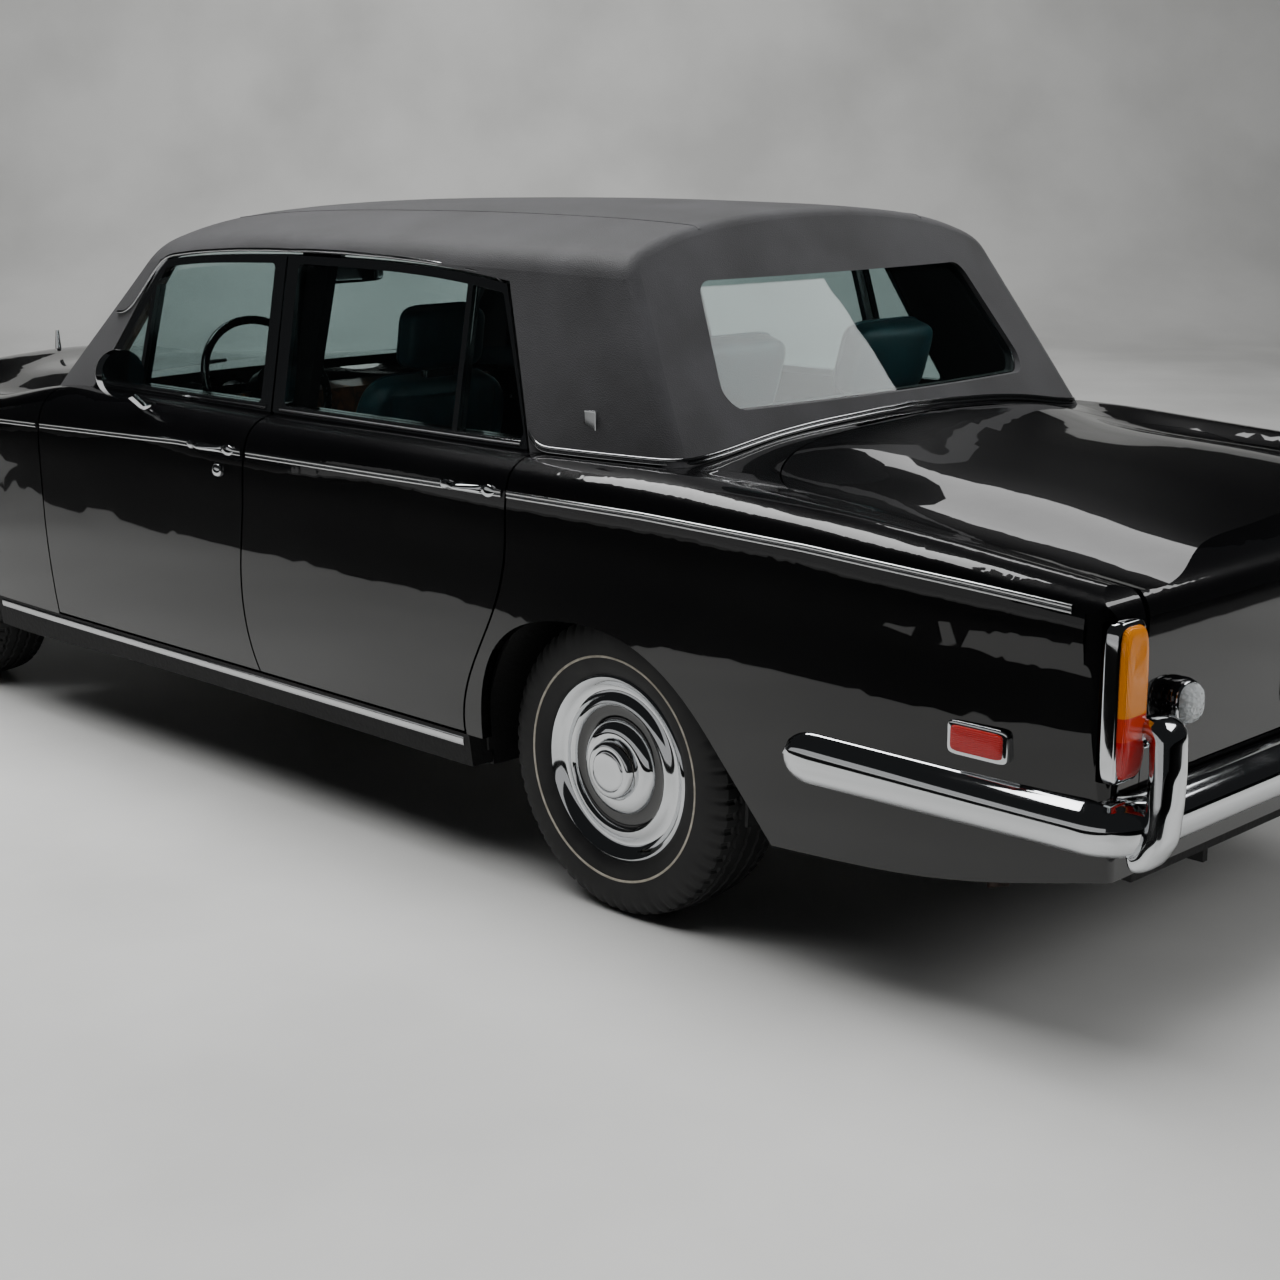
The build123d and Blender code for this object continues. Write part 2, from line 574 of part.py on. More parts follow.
def headlamps():
    """Four round headlamps: chrome rim and domed glass, let into the front panel."""
    profile = make_face(Polyline((0, -40), (LAMP_R - 6 - SEAT_GAP, -40),
                                 (LAMP_R - 6 - SEAT_GAP, SEAT_GAP), (LAMP_R, SEAT_GAP),
                                 (LAMP_R, 16), (LAMP_R - 10, 22))
                        + Spline((LAMP_R - 10, 22), (46, 34), (0, 40), tangents=((-1, 0.6), (-1, 0)))
                        + Line((0, 40), (0, -40)))
    lamp = revolve(Plane.XZ * profile, Axis.Z)
    lamps = [Pos(NOSE_X, y, LAMP_Z) * Rot(0, 90, 0) * lamp for y in LAMP_Y]
    return Compound(lamps + [mirrored(item) for item in lamps])


# ---- roof -----------------------------------------------------------------------------------
def roof(log):
    """Vinyl-covered roof with its pillars and both screen surrounds."""
    outer = cabin_log() - screen_band(REAR_SCREEN, -600, 0) - screen_band(FRONT_SCREEN, 0, 600)
    back = outer.faces().sort_by(Axis.X)[0]
    rim = [edge for edge in back.edges() if edge.center().Y > 1 and edge.center().Z > CABIN_FOOT + 1]
    outer = fillet(rim, ROOF_ROLL_R)
    inner = cabin_log(PILLAR, CABIN_FOOT - 20)
    inner -= screen_band(REAR_SCREEN, -600, PILLAR)
    inner -= screen_band(FRONT_SCREEN, -PILLAR, 600)
    half = outer - inner
    half -= slanted(frame_face((REAR_FRAME[0], FRONT_FRAME[1]), SHUT_GAP / 2))
    rear, front = REAR_FRAME[0][0] - SHUT_GAP / 2, FRONT_FRAME[1][0] + SHUT_GAP / 2
    half -= slanted(polygon((rear, 900), (front, 900), (front, FRAME_LOW + 1), (rear, FRAME_LOW + 1)))
    half -= rear_window()
    half -= front_window()
    half -= log
    return half + mirrored(half)


def screen_glass(screen, window, log, sign):
    """Glass of a screen, let into its surround; sign is 1 behind the cabin and -1 ahead."""
    near, far = sorted((SCREEN_INSET * sign, (SCREEN_INSET + GLASS) * sign))
    return (screen_band(screen, near, far) & window(-SEAT_GAP)) - log - mirrored(log)


# ---- doors ----------------------------------------------------------------------------------
def door_zone(front):
    return between(shifted(SPLIT_EDGE, SHUT_GAP / 2), FRONT_EDGE) if front else between(
        REAR_EDGE, shifted(SPLIT_EDGE, -SHUT_GAP / 2))


def door_window(front):
    ends = FRONT_FRAME if front else REAR_FRAME
    return window_face(ends, FRAME_POST if front else 12, 36 if front else FRAME_POST)


def door(thick, cabin, front):
    """Left door: thick lower part, framed window above it, hinge pockets at the front edge."""
    ends = FRONT_FRAME if front else REAR_FRAME
    slab = thick & prism_y(door_zone(front), 600, 960)
    slab &= block(-100, 2600, 600, 960, DOOR_BOTTOM, CROWN_HEIGHT + 40)
    frame = cabin & slanted(frame_face(ends, -SHUT_GAP / 2))
    frame -= slanted(door_window(front))
    bar = bar_face(VENT_BAR_X if front else QUARTER_BAR_X)
    frame += cabin & slanted(bar) & slanted(frame_face(ends, -SHUT_GAP / 2 - 4))
    leaf = slab + frame
    if front:
        leaf -= upper_shut(DOOR_SPLIT_X + 4, False)
    else:
        leaf -= upper_shut(DOOR_SPLIT_X - 3, True)
        leaf -= block(DOOR_SPLIT_X - 1, DOOR_SPLIT_X + 60, 700, CROWN_HALF_WIDTH + 10,
                      FRAME_LOW - 1, CROWN_HEIGHT + SHOULDER_CLEARANCE)
    for z in HINGE_LEVELS:
        leaf -= hinge_pocket(hinge_x(front), z)
    return leaf


def door_glass(glass, front):
    ends = FRONT_FRAME if front else REAR_FRAME
    window = slanted(door_window(front))
    pane = glass & window
    x = VENT_BAR_X if front else QUARTER_BAR_X
    half = WINDOW_BAR / 2 + SEAT_GAP
    pane -= slanted(polygon((x - half, 900), (x + half, 900), (x + half, 1500), (x - half, 1500)))
    return pane


def hinge_x(front):
    return (DOOR_FRONT_X if front else DOOR_SPLIT_X - SHUT_GAP / 2) - HINGE_SETBACK


HINGE_Y = WAIST_HALF_WIDTH - HINGE_INSET


def hinge_pocket(x, z):
    """Room in the door for one hinge strap, with the hole for its pin."""
    half = HINGE_STRAP / 2 + 6
    room = block(x - HINGE_BARREL_R - 5, x + HINGE_SETBACK + 60, 600, HINGE_Y + HINGE_BARREL_R + 1,
                 z - half, z + half)
    hole = Pos(x, HINGE_Y, z) * Cylinder(HINGE_PIN_R + BORE_CLEARANCE, HINGE_STRAP + 36)
    return room + hole


def hinge(x, z, face_y):
    """Hinge strap and pin, fixed to the pillar."""
    strap = block(x - HINGE_BARREL_R, x + HINGE_BARREL_R, face_y - 6, HINGE_Y,
                  z - HINGE_STRAP / 2, z + HINGE_STRAP / 2)
    barrel = Pos(x, HINGE_Y, z) * Cylinder(HINGE_BARREL_R, HINGE_STRAP)
    pin = Pos(x, HINGE_Y, z) * Cylinder(HINGE_PIN_R, HINGE_STRAP + 32)
    return strap + barrel + pin


# ---- floor and inner body ---------------------------------------------------------------------
def wheel_house(x, inner_y, outer_y, radius, low):
    """Half drum over a rear wheel, closed on its inner side."""
    drum = Pos(x, 0, TYRE_R) * Rot(90, 0, 0) * Cylinder(radius, outer_y - inner_y)
    bore = Pos(x, 0, TYRE_R) * Rot(90, 0, 0) * Cylinder(radius - 8, outer_y - inner_y)
    shell = Pos(0, (inner_y + outer_y) / 2, 0) * drum - Pos(0, (inner_y + outer_y) / 2 + 8, 0) * bore
    return shell & block(x - radius - 1, x + radius + 1, 0, 1000, low, 1200)


def floor_pan(thick, lining):
    """Floor, sills, wheel houses, hinge pillars, bulkheads and the engine bay's inner walls."""
    t = FLOOR_THICKNESS
    z = FLOOR_Z
    heel = HEEL_BOARD_X
    track = [(2610, 560), (2470, z), (640, z), (520, z + 120), (heel, z + 190), (TAIL_X + PANEL + 1, z + 110)]
    upper = [(2610 - t, 560), (2470 - 0.7 * t, z + t), (640 + 0.4 * t, z + t), (520 + 0.4 * t, z + 120 + t),
             (heel + 0.2 * t, z + 190 + t), (TAIL_X + PANEL + 1, z + 110 + t)]
    half = prism_y(polygon(*(track + upper[::-1])), 0, 720)
    half -= block(-430, heel, 560, 900, 200, 1100)
    half += wheel_house(0, 552, 840, 408, 300) - block(-70, 70, 500, 600, 200, 410)
    half += (thick & lower_side(heel, DASH_X - 5)) + block(heel, DASH_X - 35, 706, 800, FLOOR_Z, SILL_TOP)
    half += block(2594, 2610, 0, 720, 560, 880)
    half += block(2610, NOSE_X - PANEL - 40, 404, 420, 500, 800)
    half += block(NOSE_X - PANEL - 56, NOSE_X - PANEL - 0.0, 300, 420, 460, 800)
    for front in (True, False):
        x = hinge_x(front)
        face_y = POST_FACES_Y[0 if front else 1]
        post = block(x - 26, x + (120 if front else 96), POST_BACK_Y, face_y, FLOOR_Z, 915)
        half += post
        for level in HINGE_LEVELS:
            half += hinge(x, level, face_y)
    half += upper_post()
    half += block(225, 235, 0, 556, 440, 960) + block(225, 235, 0, 700, 750, 960)
    half += block(BOOT_FRONT_X - 60, 230, 480, 500, 900, 940)
    half += block(BOOT_FRONT_X - 60, BOOT_FRONT_X - 30, 480, 500, 900, 1100) & lining
    for x in JACK_PADS:
        half += Pos(x, JACK_Y, FLOOR_Z - 8) * Cylinder(30, 16)
    for x, low, high in TOW_EYES:
        half += block(x - 24, x + 24, TOW_Y - 8, TOW_Y + 8, low, high)
        half -= rod((x, TOW_Y - 20, low + 27), (x, TOW_Y + 20, low + 27), TOW_EYE_R)
    return half + mirrored(half)


def upper_post():
    """Pillar between the doors above the waist, up to the roof's inner face."""
    lean = (CROWN_HALF_WIDTH - CANT_HALF_WIDTH) / (CANT_HEIGHT - CROWN_HEIGHT)
    low, high, face = 900, 1470, CROWN_HALF_WIDTH - PILLAR - 44
    top = face - (high - CROWN_HEIGHT) * lean
    foot = face - (low - CROWN_HEIGHT) * lean
    side = polygon((foot, low), (top, high), (top - 28, high), (foot - 34, low))
    return prism_x(side, DOOR_SPLIT_X - 26, DOOR_SPLIT_X + 94) & cabin_log(PILLAR + SEAT_GAP, 850)


# ---- wheels ------------------------------------------------------------------------------------
def tyre():
    """Tyre as a ring about Y, its middle at the origin, filling down to the rim."""
    half = TYRE_WIDTH / 2
    rim = RIM_R + SEAT_GAP
    flange = RIM_FLANGE_R + SEAT_GAP
    wall = Spline((flange, half - 18), ((flange + TYRE_R) / 2 - 8, half), (TYRE_R - 10, half - 20))
    tread = ThreePointArc((TYRE_R - 10, half - 20), (TYRE_R, 0), (TYRE_R - 10, 20 - half))
    back = Spline((TYRE_R - 10, 20 - half), ((flange + TYRE_R) / 2 - 8, -half), (flange, 18 - half))
    bead = RIM_WIDTH / 2 - SEAT_GAP
    seat = Polyline((flange, 18 - half), (flange, -bead), (rim, -bead), (rim, bead), (flange, bead),
                    (flange, half - 18))
    return revolve(Plane.XY * make_face(wall + tread + back + seat), Axis.Y)


RIM_FLANGE_R = 206


def wheel():
    """Steel rim with its domed cover and hub, outer side towards +Y, bored from the inner side."""
    edge = RIM_WIDTH / 2
    face = Spline((0, 102), (34, 98), (62, 88))
    cover = Spline((70, 84), (112, 80), (160, 90), (196, 92), (RIM_FLANGE_R, 84))
    rest = Polyline((RIM_FLANGE_R, 84), (RIM_FLANGE_R, edge), (RIM_R, edge), (RIM_R, -edge),
                    (RIM_FLANGE_R - 3, -edge), (RIM_FLANGE_R - 3, -edge - 8), (RIM_R - 14, -edge - 8),
                    (RIM_R - 14, 62), (60, 62), (60, -20), (STUB_R + BORE_CLEARANCE, -20),
                    (STUB_R + BORE_CLEARANCE, 50), (0, 50), (0, 102))
    profile = make_face(face + Line((62, 88), (70, 84)) + cover + rest)
    return revolve(Plane.XY * profile, Axis.Y)


def knuckle():
    """Left steering knuckle: upright between the ball joints, with the stub axle."""
    reach = KNUCKLE_REACH - ARM_THICKNESS / 2 - SEAT_GAP
    upright = Pos(WHEELBASE, KINGPIN_Y, TYRE_R) * Cylinder(20, 2 * reach)
    boss = rod((WHEELBASE, KINGPIN_Y - 40, TYRE_R), (WHEELBASE, TRACK / 2 - 24, TYRE_R), 46)
    stub = rod((WHEELBASE, KINGPIN_Y, TYRE_R), (WHEELBASE, TRACK / 2 + 50 - BORE_CLEARANCE, TYRE_R), STUB_R)
    return upright + boss + stub


ARM_THICKNESS = 30


def front_suspension():
    """Crossmember, spring towers, springs and the upper and lower arms of both sides."""
    x, z = WHEELBASE, TYRE_R
    half = block(x - 80, x + 80, 0, 340, FLOOR_Z - 60, FLOOR_Z)
    half += block(x - 60, x + 60, 330, 420, FLOOR_Z - 40, 500 - SEAT_GAP)
    arm = polygon((x - 26, KINGPIN_Y + 24), (x + 26, KINGPIN_Y + 24), (x + 135, ARM_Y), (x - 135, ARM_Y))
    for level in (z - KNUCKLE_REACH, z + KNUCKLE_REACH):
        half += prism_z(arm, level - ARM_THICKNESS / 2, level + ARM_THICKNESS / 2)
    half += Pos(x, 500, z) * Cylinder(48, 2 * KNUCKLE_REACH)
    return half + mirrored(half)


def rear_axle():
    """Final drive, half shafts, hub carriers and trailing arms of both sides."""
    z = TYRE_R
    half = block(-140, 170, 0, 130, 205, 405)
    half += rod((0, 100, z), (0, TRACK / 2, z), 22)
    half += rod((0, 480, z), (0, TRACK / 2 - 26, z), 56)
    half += rod((0, TRACK / 2 - 60, z), (0, TRACK / 2 + 50 - BORE_CLEARANCE, z), STUB_R)
    half += prism_y(polygon((720, 205), (720, 234), (648, 234), (600, 262), (60, 392), (-70, 392),
                            (-70, 280), (60, 262)), 470, 540)
    half += block(650, 740, 440, 540, 205, FLOOR_Z)
    return half + mirrored(half)


def engine():
    return block(2640, 3330, -230, 230, FLOOR_Z, 740)


def exhaust():
    """One pipe along the left side with its silencer, ending in a turned-down tail pipe."""
    z = FLOOR_Z - 46
    path = FilletPolyline((2560, 290, z), (-560, 290, z), (-740, 440, z), (-756, 452, z - 44), radius=30)
    pipe = sweep(Plane(origin=path @ 0, z_dir=path % 0) * Circle(23), path)
    silencer = fillet(block(780, 1340, 190, 390, z - 38, z + 38).edges().filter_by(Axis.X), 34)
    return pipe + silencer + block(990, 1050, 270, 310, z, FLOOR_Z) + block(2000, 2040, 275, 305, z, FLOOR_Z)


# ---- bumpers and front ----------------------------------------------------------------------------
BUMPER_Z = 500
BUMPER_HEIGHT = 104
BUMPER_DEPTH = 23
OVERRIDER_Y = 765


def bumper_profile():
    """D-shaped section, its flat back on the local y axis."""
    h = BUMPER_HEIGHT / 2
    return make_face(Line((0, -h), (0, h)) + Spline((0, h), (BUMPER_DEPTH * 0.75, h * 0.7),
                                                   (BUMPER_DEPTH, 0), (BUMPER_DEPTH * 0.75, -h * 0.7), (0, -h)))


def bumper_bar(end_x, corner_x, side_y, corner_y, radius):
    """Bar round one end of the car, from one side to the other."""
    path = FilletPolyline((end_x, side_y), (corner_x, corner_y), (corner_x, -corner_y),
                          (end_x, -side_y), radius=radius)
    start = Plane(origin=path @ 0, x_dir=(0, 1, 0), z_dir=path % 0)
    return Pos(0, 0, BUMPER_Z) * sweep(start * bumper_profile(), path)


def overrider(x0, x1, y):
    body = block(x0, x1, y - 44, y + 44, BUMPER_Z - 62, BUMPER_Z + 181)
    return fillet(body.edges().filter_by(Axis.X), 30)


def rear_bumper():
    bar = bumper_bar(-548, TAIL_X - 38, 885.5, 870, 40)
    over = overrider(-REAR_OVERHANG, TAIL_X - 26, OVERRIDER_Y)
    iron = block(TAIL_X - 40, TAIL_X - SEAT_GAP, 330, 390, BUMPER_Z - 30, BUMPER_Z + 30)
    return bar + over + mirrored(over) + iron + mirrored(iron)


def front_bumper():
    face_x = WHEELBASE + FRONT_OVERHANG
    bar = bumper_bar(NOSE_X - 230, face_x - 62, 880, 850, 150)
    over = overrider(face_x - 60, face_x, 470)
    iron = block(NOSE_X + SEAT_GAP, face_x - 50, 330, 390, BUMPER_Z - 30, BUMPER_Z + 30)
    return bar + over + mirrored(over) + iron + mirrored(iron)


GRILLE_HALF_WIDTH = 272
GRILLE_LOW = 430
GRILLE_HIGH = 925
GRILLE_DEPTH = 88
GRILLE_WALL = 26
SLAT_COUNT = 17
SLAT_THICKNESS = 7


def grille():
    """Upright radiator shell with softly rounded shoulders and vertical slats."""
    x0, x1 = NOSE_X + SEAT_GAP, NOSE_X + GRILLE_DEPTH
    w, low, high = GRILLE_HALF_WIDTH, GRILLE_LOW, GRILLE_HIGH
    outline = make_face(Polyline((-w, high - 30), (-w, low), (w, low), (w, high - 30))
                        + ThreePointArc((w, high - 30), (0, high), (-w, high - 30)))
    outline = fillet(outline.vertices().group_by(Axis.Y)[-1], 40)
    shell = prism_x(outline, x0, x1)
    hollow = polygon((-w + GRILLE_WALL, low + GRILLE_WALL), (w - GRILLE_WALL, low + GRILLE_WALL),
                     (w - GRILLE_WALL, high - 70), (-w + GRILLE_WALL, high - 70))
    shell -= prism_x(hollow, x0 - 10, x1 + 10)
    pitch = 2 * (w - GRILLE_WALL) / (SLAT_COUNT + 1)
    for i in range(SLAT_COUNT):
        y = -w + GRILLE_WALL + pitch * (i + 1)
        shell += block(x0 + 20, x1 - 8, y - SLAT_THICKNESS / 2, y + SLAT_THICKNESS / 2, low + 10, high - 60)
    cap = Pos((x0 + x1) / 2, 0, high - 4) * Cylinder(26, 18, align=(Align.CENTER, Align.CENTER, Align.MIN))
    pin = Pos((x0 + x1) / 2, 0, high + 12) * Cone(12, 6, 70, align=(Align.CENTER, Align.CENTER, Align.MIN))
    return shell + cap + pin


def rear_lamps():
    """Tall rear lamps in the corners, and the round reversing lamps inside them."""
    face = Pos(826, 726) * RectangleRounded(92 - 2 * SEAT_GAP, 290 - 2 * SEAT_GAP, 20)
    lamp = prism_x(face, TAIL_X - 14, TAIL_X + 22 - SEAT_GAP)
    return Compound([lamp, mirrored(lamp)])


# ---- inside ------------------------------------------------------------------------------------------
def soft(x0, x1, y0, y1, z0, z1, radius=24):
    body = block(x0, x1, y0, y1, z0, z1)
    return fillet(body.edges(), radius)


def front_seats():
    """Two armchair seats, each cushion, back and head restraint on one base."""
    floor = FLOOR_Z + FLOOR_THICKNESS
    base = block(1300, 1700, 180, 560, floor, 420)
    cushion = soft(1230, 1760, 130, 610, 400, 540, 40)
    back = Pos(1270, 370, 500) * Rot(0, -14, 0) * soft(-70, 60, -240, 240, 0, 600, 40)
    head = Pos(1110, 370, 1090) * Rot(0, -10, 0) * soft(-45, 45, -130, 130, 0, 170, 34)
    neck = Pos(1128, 370, 1060) * Box(30, 120, 120)
    seat = base + cushion + back + head + neck
    return Compound([seat, mirrored(seat)])


def rear_seat():
    """Rear bench with two tall head restraints."""
    floor = FLOOR_Z + FLOOR_THICKNESS
    base = block(660, 900, -600, 600, floor, 400)
    cushion = soft(500, 960, -640, 640, 470, 560, 40)
    riser = block(560, 900, -600, 600, 398, 520)
    back = Pos(500, 0, 480) * Rot(0, -18, 0) * soft(-110, 50, -620, 620, 0, 480, 40)
    return base + cushion + riser + back


def dashboard():
    """Dashboard across the cabin with the steering column."""
    side = polygon((2240, 640), (2090, 660), (2040, 760), (2040, 850), (2090, 925), (2260, 925))
    board = prism_y(side, -640, 640) + block(2170, 2250, -715.7, 715.7, 660, 860)
    hub = Vector(*WHEEL_HUB)
    axis = Vector(cos(radians(COLUMN_RAKE)), 0, -sin(radians(COLUMN_RAKE)))
    column = rod(tuple(hub + axis * (24 + SEAT_GAP)), tuple(hub + axis * 260), 24)
    return board + column


WHEEL_HUB = (1870, 380, 985)
COLUMN_RAKE = 25


def steering_wheel():
    """Thin-rimmed two-spoke wheel."""
    rim = Torus(200, 12)
    spoke = Box(24, 392, 10)
    hub = Cylinder(46, 48)
    return Pos(*WHEEL_HUB) * Rot(0, -(90 - COLUMN_RAKE), 0) * (rim + spoke + hub)


def door_mirror(leaf):
    """Left door mirror: round head on a short stalk, its foot shaped to the door's shoulder."""
    head = rod((1735, 930, 1072), (1785, 930, 1072), 64)
    head = fillet(head.edges().group_by(Axis.X)[-1], 24)
    stalk = rod((1762, 925, 1040), (1745, 846, 960), 11)
    foot = rod((1745, 850, 990), (1745, 838, 950), 26)
    return Pos(0, SEAT_GAP * 0.6, SEAT_GAP * 0.8) * (head + stalk + foot - leaf)


# ---- the whole car ---------------------------------------------------------------------------------
MIDDLE_X = (WHEELBASE + FRONT_OVERHANG - REAR_OVERHANG) / 2


def car():
    """Every piece by its name, left pieces mirrored for the right."""
    log, skin, thick = body_log(), body_wall(PANEL), body_wall(DOOR_THICKNESS, 11)
    cabin, glass = cabin_wall(0, PILLAR), cabin_wall(16, 16 + GLASS)
    clear_log = body_log(-SEAT_GAP)
    wing, quarter = front_wing(skin), rear_wing(skin)
    pan = floor_pan(thick, body_log(PANEL + SEAT_GAP))
    pieces = {
        "floor_pan": pan & block(HEEL_BOARD_X, DASH_X, -1000, 1000, 0, 2000),
        "boot_floor": pan & block(TAIL_X, HEEL_BOARD_X, -1000, 1000, 0, 2000),
        "engine_bay": pan & block(DASH_X, NOSE_X, -1000, 1000, 0, 2000),
        "front_wings": Compound([wing, mirrored(wing)]),
        "rear_wings": Compound([quarter, mirrored(quarter)]),
        "front_panel": front_panel(log),
        "scuttle": scuttle(skin),
        "deck_panel": deck_panel(skin),
        "tail_panel": tail_panel(log),
        "roof": roof(clear_log),
        "bonnet": bonnet(skin),
        "boot_lid": boot_lid(skin, log),
        "windscreen": screen_glass(FRONT_SCREEN, front_window, clear_log, -1),
        "rear_window": screen_glass(REAR_SCREEN, rear_window, clear_log, 1),
        "headlamps": headlamps(),
        "rear_lamps": rear_lamps(),
        "grille": grille(),
        "front_bumper": front_bumper(),
        "rear_bumper": rear_bumper(),
        "front_suspension": front_suspension(),
        "rear_axle": rear_axle(),
        "engine": engine(),
        "exhaust": exhaust(),
        "front_seats": front_seats(),
        "rear_seat": rear_seat(),
        "dashboard": dashboard(),
        "steering_wheel": steering_wheel(),
    }
    for name, front in (("front", True), ("rear", False)):
        leaf, pane = door(thick, cabin, front), door_glass(glass, front)
        pieces[name + "_door_left"] = leaf
        pieces[name + "_door_right"] = mirrored(leaf)
        pieces[name + "_glass_left"] = pane
        pieces[name + "_glass_right"] = mirrored(pane)
        x = WHEELBASE if front else 0
        for part, shape in (("tyre", tyre()), ("wheel", wheel())):
            placed = Pos(x, TRACK / 2, TYRE_R) * shape
            pieces[part + "_" + name + "_left"] = placed
            pieces[part + "_" + name + "_right"] = mirrored(placed)
    pieces["knuckle_left"] = knuckle()
    pieces["knuckle_right"] = mirrored(pieces["knuckle_left"])
    pieces["mirror_left"] = door_mirror(pieces["front_door_left"])
    pieces["mirror_right"] = mirrored(pieces["mirror_left"])
    return pieces


os.makedirs("parts", exist_ok=True)
for node, shape in car().items():
    export_step(Pos(-MIDDLE_X, 0, 0) * shape, "parts/" + node + ".step")
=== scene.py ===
import math
import bpy
import bmesh
import numpy as np
from mathutils import Matrix, Vector
from mathutils.bvhtree import BVHTree


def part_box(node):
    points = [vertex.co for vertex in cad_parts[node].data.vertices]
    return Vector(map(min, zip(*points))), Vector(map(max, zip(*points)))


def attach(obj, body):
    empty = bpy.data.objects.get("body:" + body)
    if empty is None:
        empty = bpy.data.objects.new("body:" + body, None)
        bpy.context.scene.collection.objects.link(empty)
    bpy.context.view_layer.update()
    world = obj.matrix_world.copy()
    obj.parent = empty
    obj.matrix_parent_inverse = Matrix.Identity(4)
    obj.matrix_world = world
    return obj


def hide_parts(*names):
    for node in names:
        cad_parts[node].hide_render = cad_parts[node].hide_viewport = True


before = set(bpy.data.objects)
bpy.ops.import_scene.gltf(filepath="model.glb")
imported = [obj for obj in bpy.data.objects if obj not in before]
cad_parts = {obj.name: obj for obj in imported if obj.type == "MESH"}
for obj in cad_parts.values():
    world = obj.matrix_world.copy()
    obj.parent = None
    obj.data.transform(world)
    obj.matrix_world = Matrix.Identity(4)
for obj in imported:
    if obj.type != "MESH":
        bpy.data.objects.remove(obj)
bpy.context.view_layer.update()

# ---- viewpoint -------------------------------------------------------------------------------
# The car is seen from behind its left rear corner, from a person's eye height. Stations
# along the car are measured from the rear axle, which the rear wheel's middle gives.
wheel_low, wheel_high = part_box("wheel_rear_left")
REAR_AXLE_X = (wheel_low.x + wheel_high.x) / 2
EYE = Vector((REAR_AXLE_X - 3.1854, 3.9016, 1.6847))
EYE_YAW, EYE_PITCH, EYE_ROLL = math.radians(-44.752), math.radians(-13.467), math.radians(-0.326)
EYE_LENS = 59.68

ahead = Vector((math.cos(EYE_YAW) * math.cos(EYE_PITCH), math.sin(EYE_YAW) * math.cos(EYE_PITCH),
                math.sin(EYE_PITCH)))
level = Vector((math.sin(EYE_YAW), -math.cos(EYE_YAW), 0.0))
lifted = level.cross(ahead)
right = math.cos(EYE_ROLL) * level + math.sin(EYE_ROLL) * lifted
upward = math.cos(EYE_ROLL) * lifted - math.sin(EYE_ROLL) * level
eye = bpy.data.objects.new("eye", bpy.data.cameras.new("eye"))
eye.matrix_world = Matrix((right, upward, -ahead)).transposed().to_4x4()
eye.location = EYE
eye.data.lens, eye.data.sensor_width = EYE_LENS, 36.0
eye.data.clip_end = 200.0
bpy.context.scene.collection.objects.link(eye)
bpy.context.scene.camera = eye


# ---- studio ----------------------------------------------------------------------------------
# A painted studio floor that sweeps up into a wall behind the car. Both are matt emulsion
# paint, rolled on: pale grey, with faint scuffs from tyres and feet.
def linear(hex_colour):
    """Linear colour of an sRGB hex value."""
    parts = [int(hex_colour[i:i + 2], 16) / 255 for i in (0, 2, 4)]
    return tuple(c / 12.92 if c <= 0.04045 else ((c + 0.055) / 1.055) ** 2.4 for c in parts) + (1.0,)


def add_node(tree, kind, settings=None, wires=None):
    """Adds one node; settings are its sockets or attributes, wires are what feeds its sockets."""
    made = tree.nodes.new(kind)
    for key, value in (settings or {}).items():
        if isinstance(key, int) or key in made.inputs:
            made.inputs[key].default_value = value
        else:
            setattr(made, key, value)
    for key, source in (wires or {}).items():
        tree.links.new(source, made.inputs[key])
    return made


def new_finish(name, colour, roughness, **sockets):
    """Material with one Principled shader; sockets are further values, spaces as underscores."""
    finish = bpy.data.materials.new(name)
    finish.use_nodes = True
    shader = finish.node_tree.nodes["Principled BSDF"]
    shader.inputs["Base Color"].default_value = linear(colour)
    shader.inputs["Roughness"].default_value = roughness
    for key, value in sockets.items():
        shader.inputs[key.replace("_", " ")].default_value = value
    return finish


def pattern(finish, kind, size, stretch=(1, 1, 1), **settings):
    """Texture node of that kind on Object coordinates, its features about size metres across."""
    tree = finish.node_tree
    place = add_node(tree, "ShaderNodeTexCoord")
    spread = add_node(tree, "ShaderNodeMapping", {"Scale": tuple(s / size for s in stretch)},
                      {"Vector": place.outputs["Object"]})
    return add_node(tree, kind, {"Scale": 1.0, **settings}, {"Vector": spread.outputs["Vector"]})


def shaded(finish, source, low, high, socket="Base Color", start=0.3, end=0.7):
    """Feeds a socket with a ramp between two values, driven by a texture's output."""
    tree = finish.node_tree
    shader = tree.nodes["Principled BSDF"]
    if socket == "Base Color":
        ramp = add_node(tree, "ShaderNodeValToRGB", wires={"Fac": source})
        ramp.color_ramp.elements[0].position, ramp.color_ramp.elements[1].position = start, end
        ramp.color_ramp.elements[0].color, ramp.color_ramp.elements[1].color = linear(low), linear(high)
        tree.links.new(ramp.outputs["Color"], shader.inputs[socket])
    else:
        ramp = add_node(tree, "ShaderNodeMapRange", {"From Min": start, "From Max": end, "To Min": low,
                                                     "To Max": high}, {"Value": source})
        tree.links.new(ramp.outputs["Result"], shader.inputs[socket])


def raised(finish, source, height, socket="Normal"):
    """Bump from a texture's output; height is the relief in metres."""
    tree = finish.node_tree
    bump = add_node(tree, "ShaderNodeBump", {"Strength": 1.0, "Distance": height}, {"Height": source})
    tree.links.new(bump.outputs["Normal"], tree.nodes["Principled BSDF"].inputs[socket])


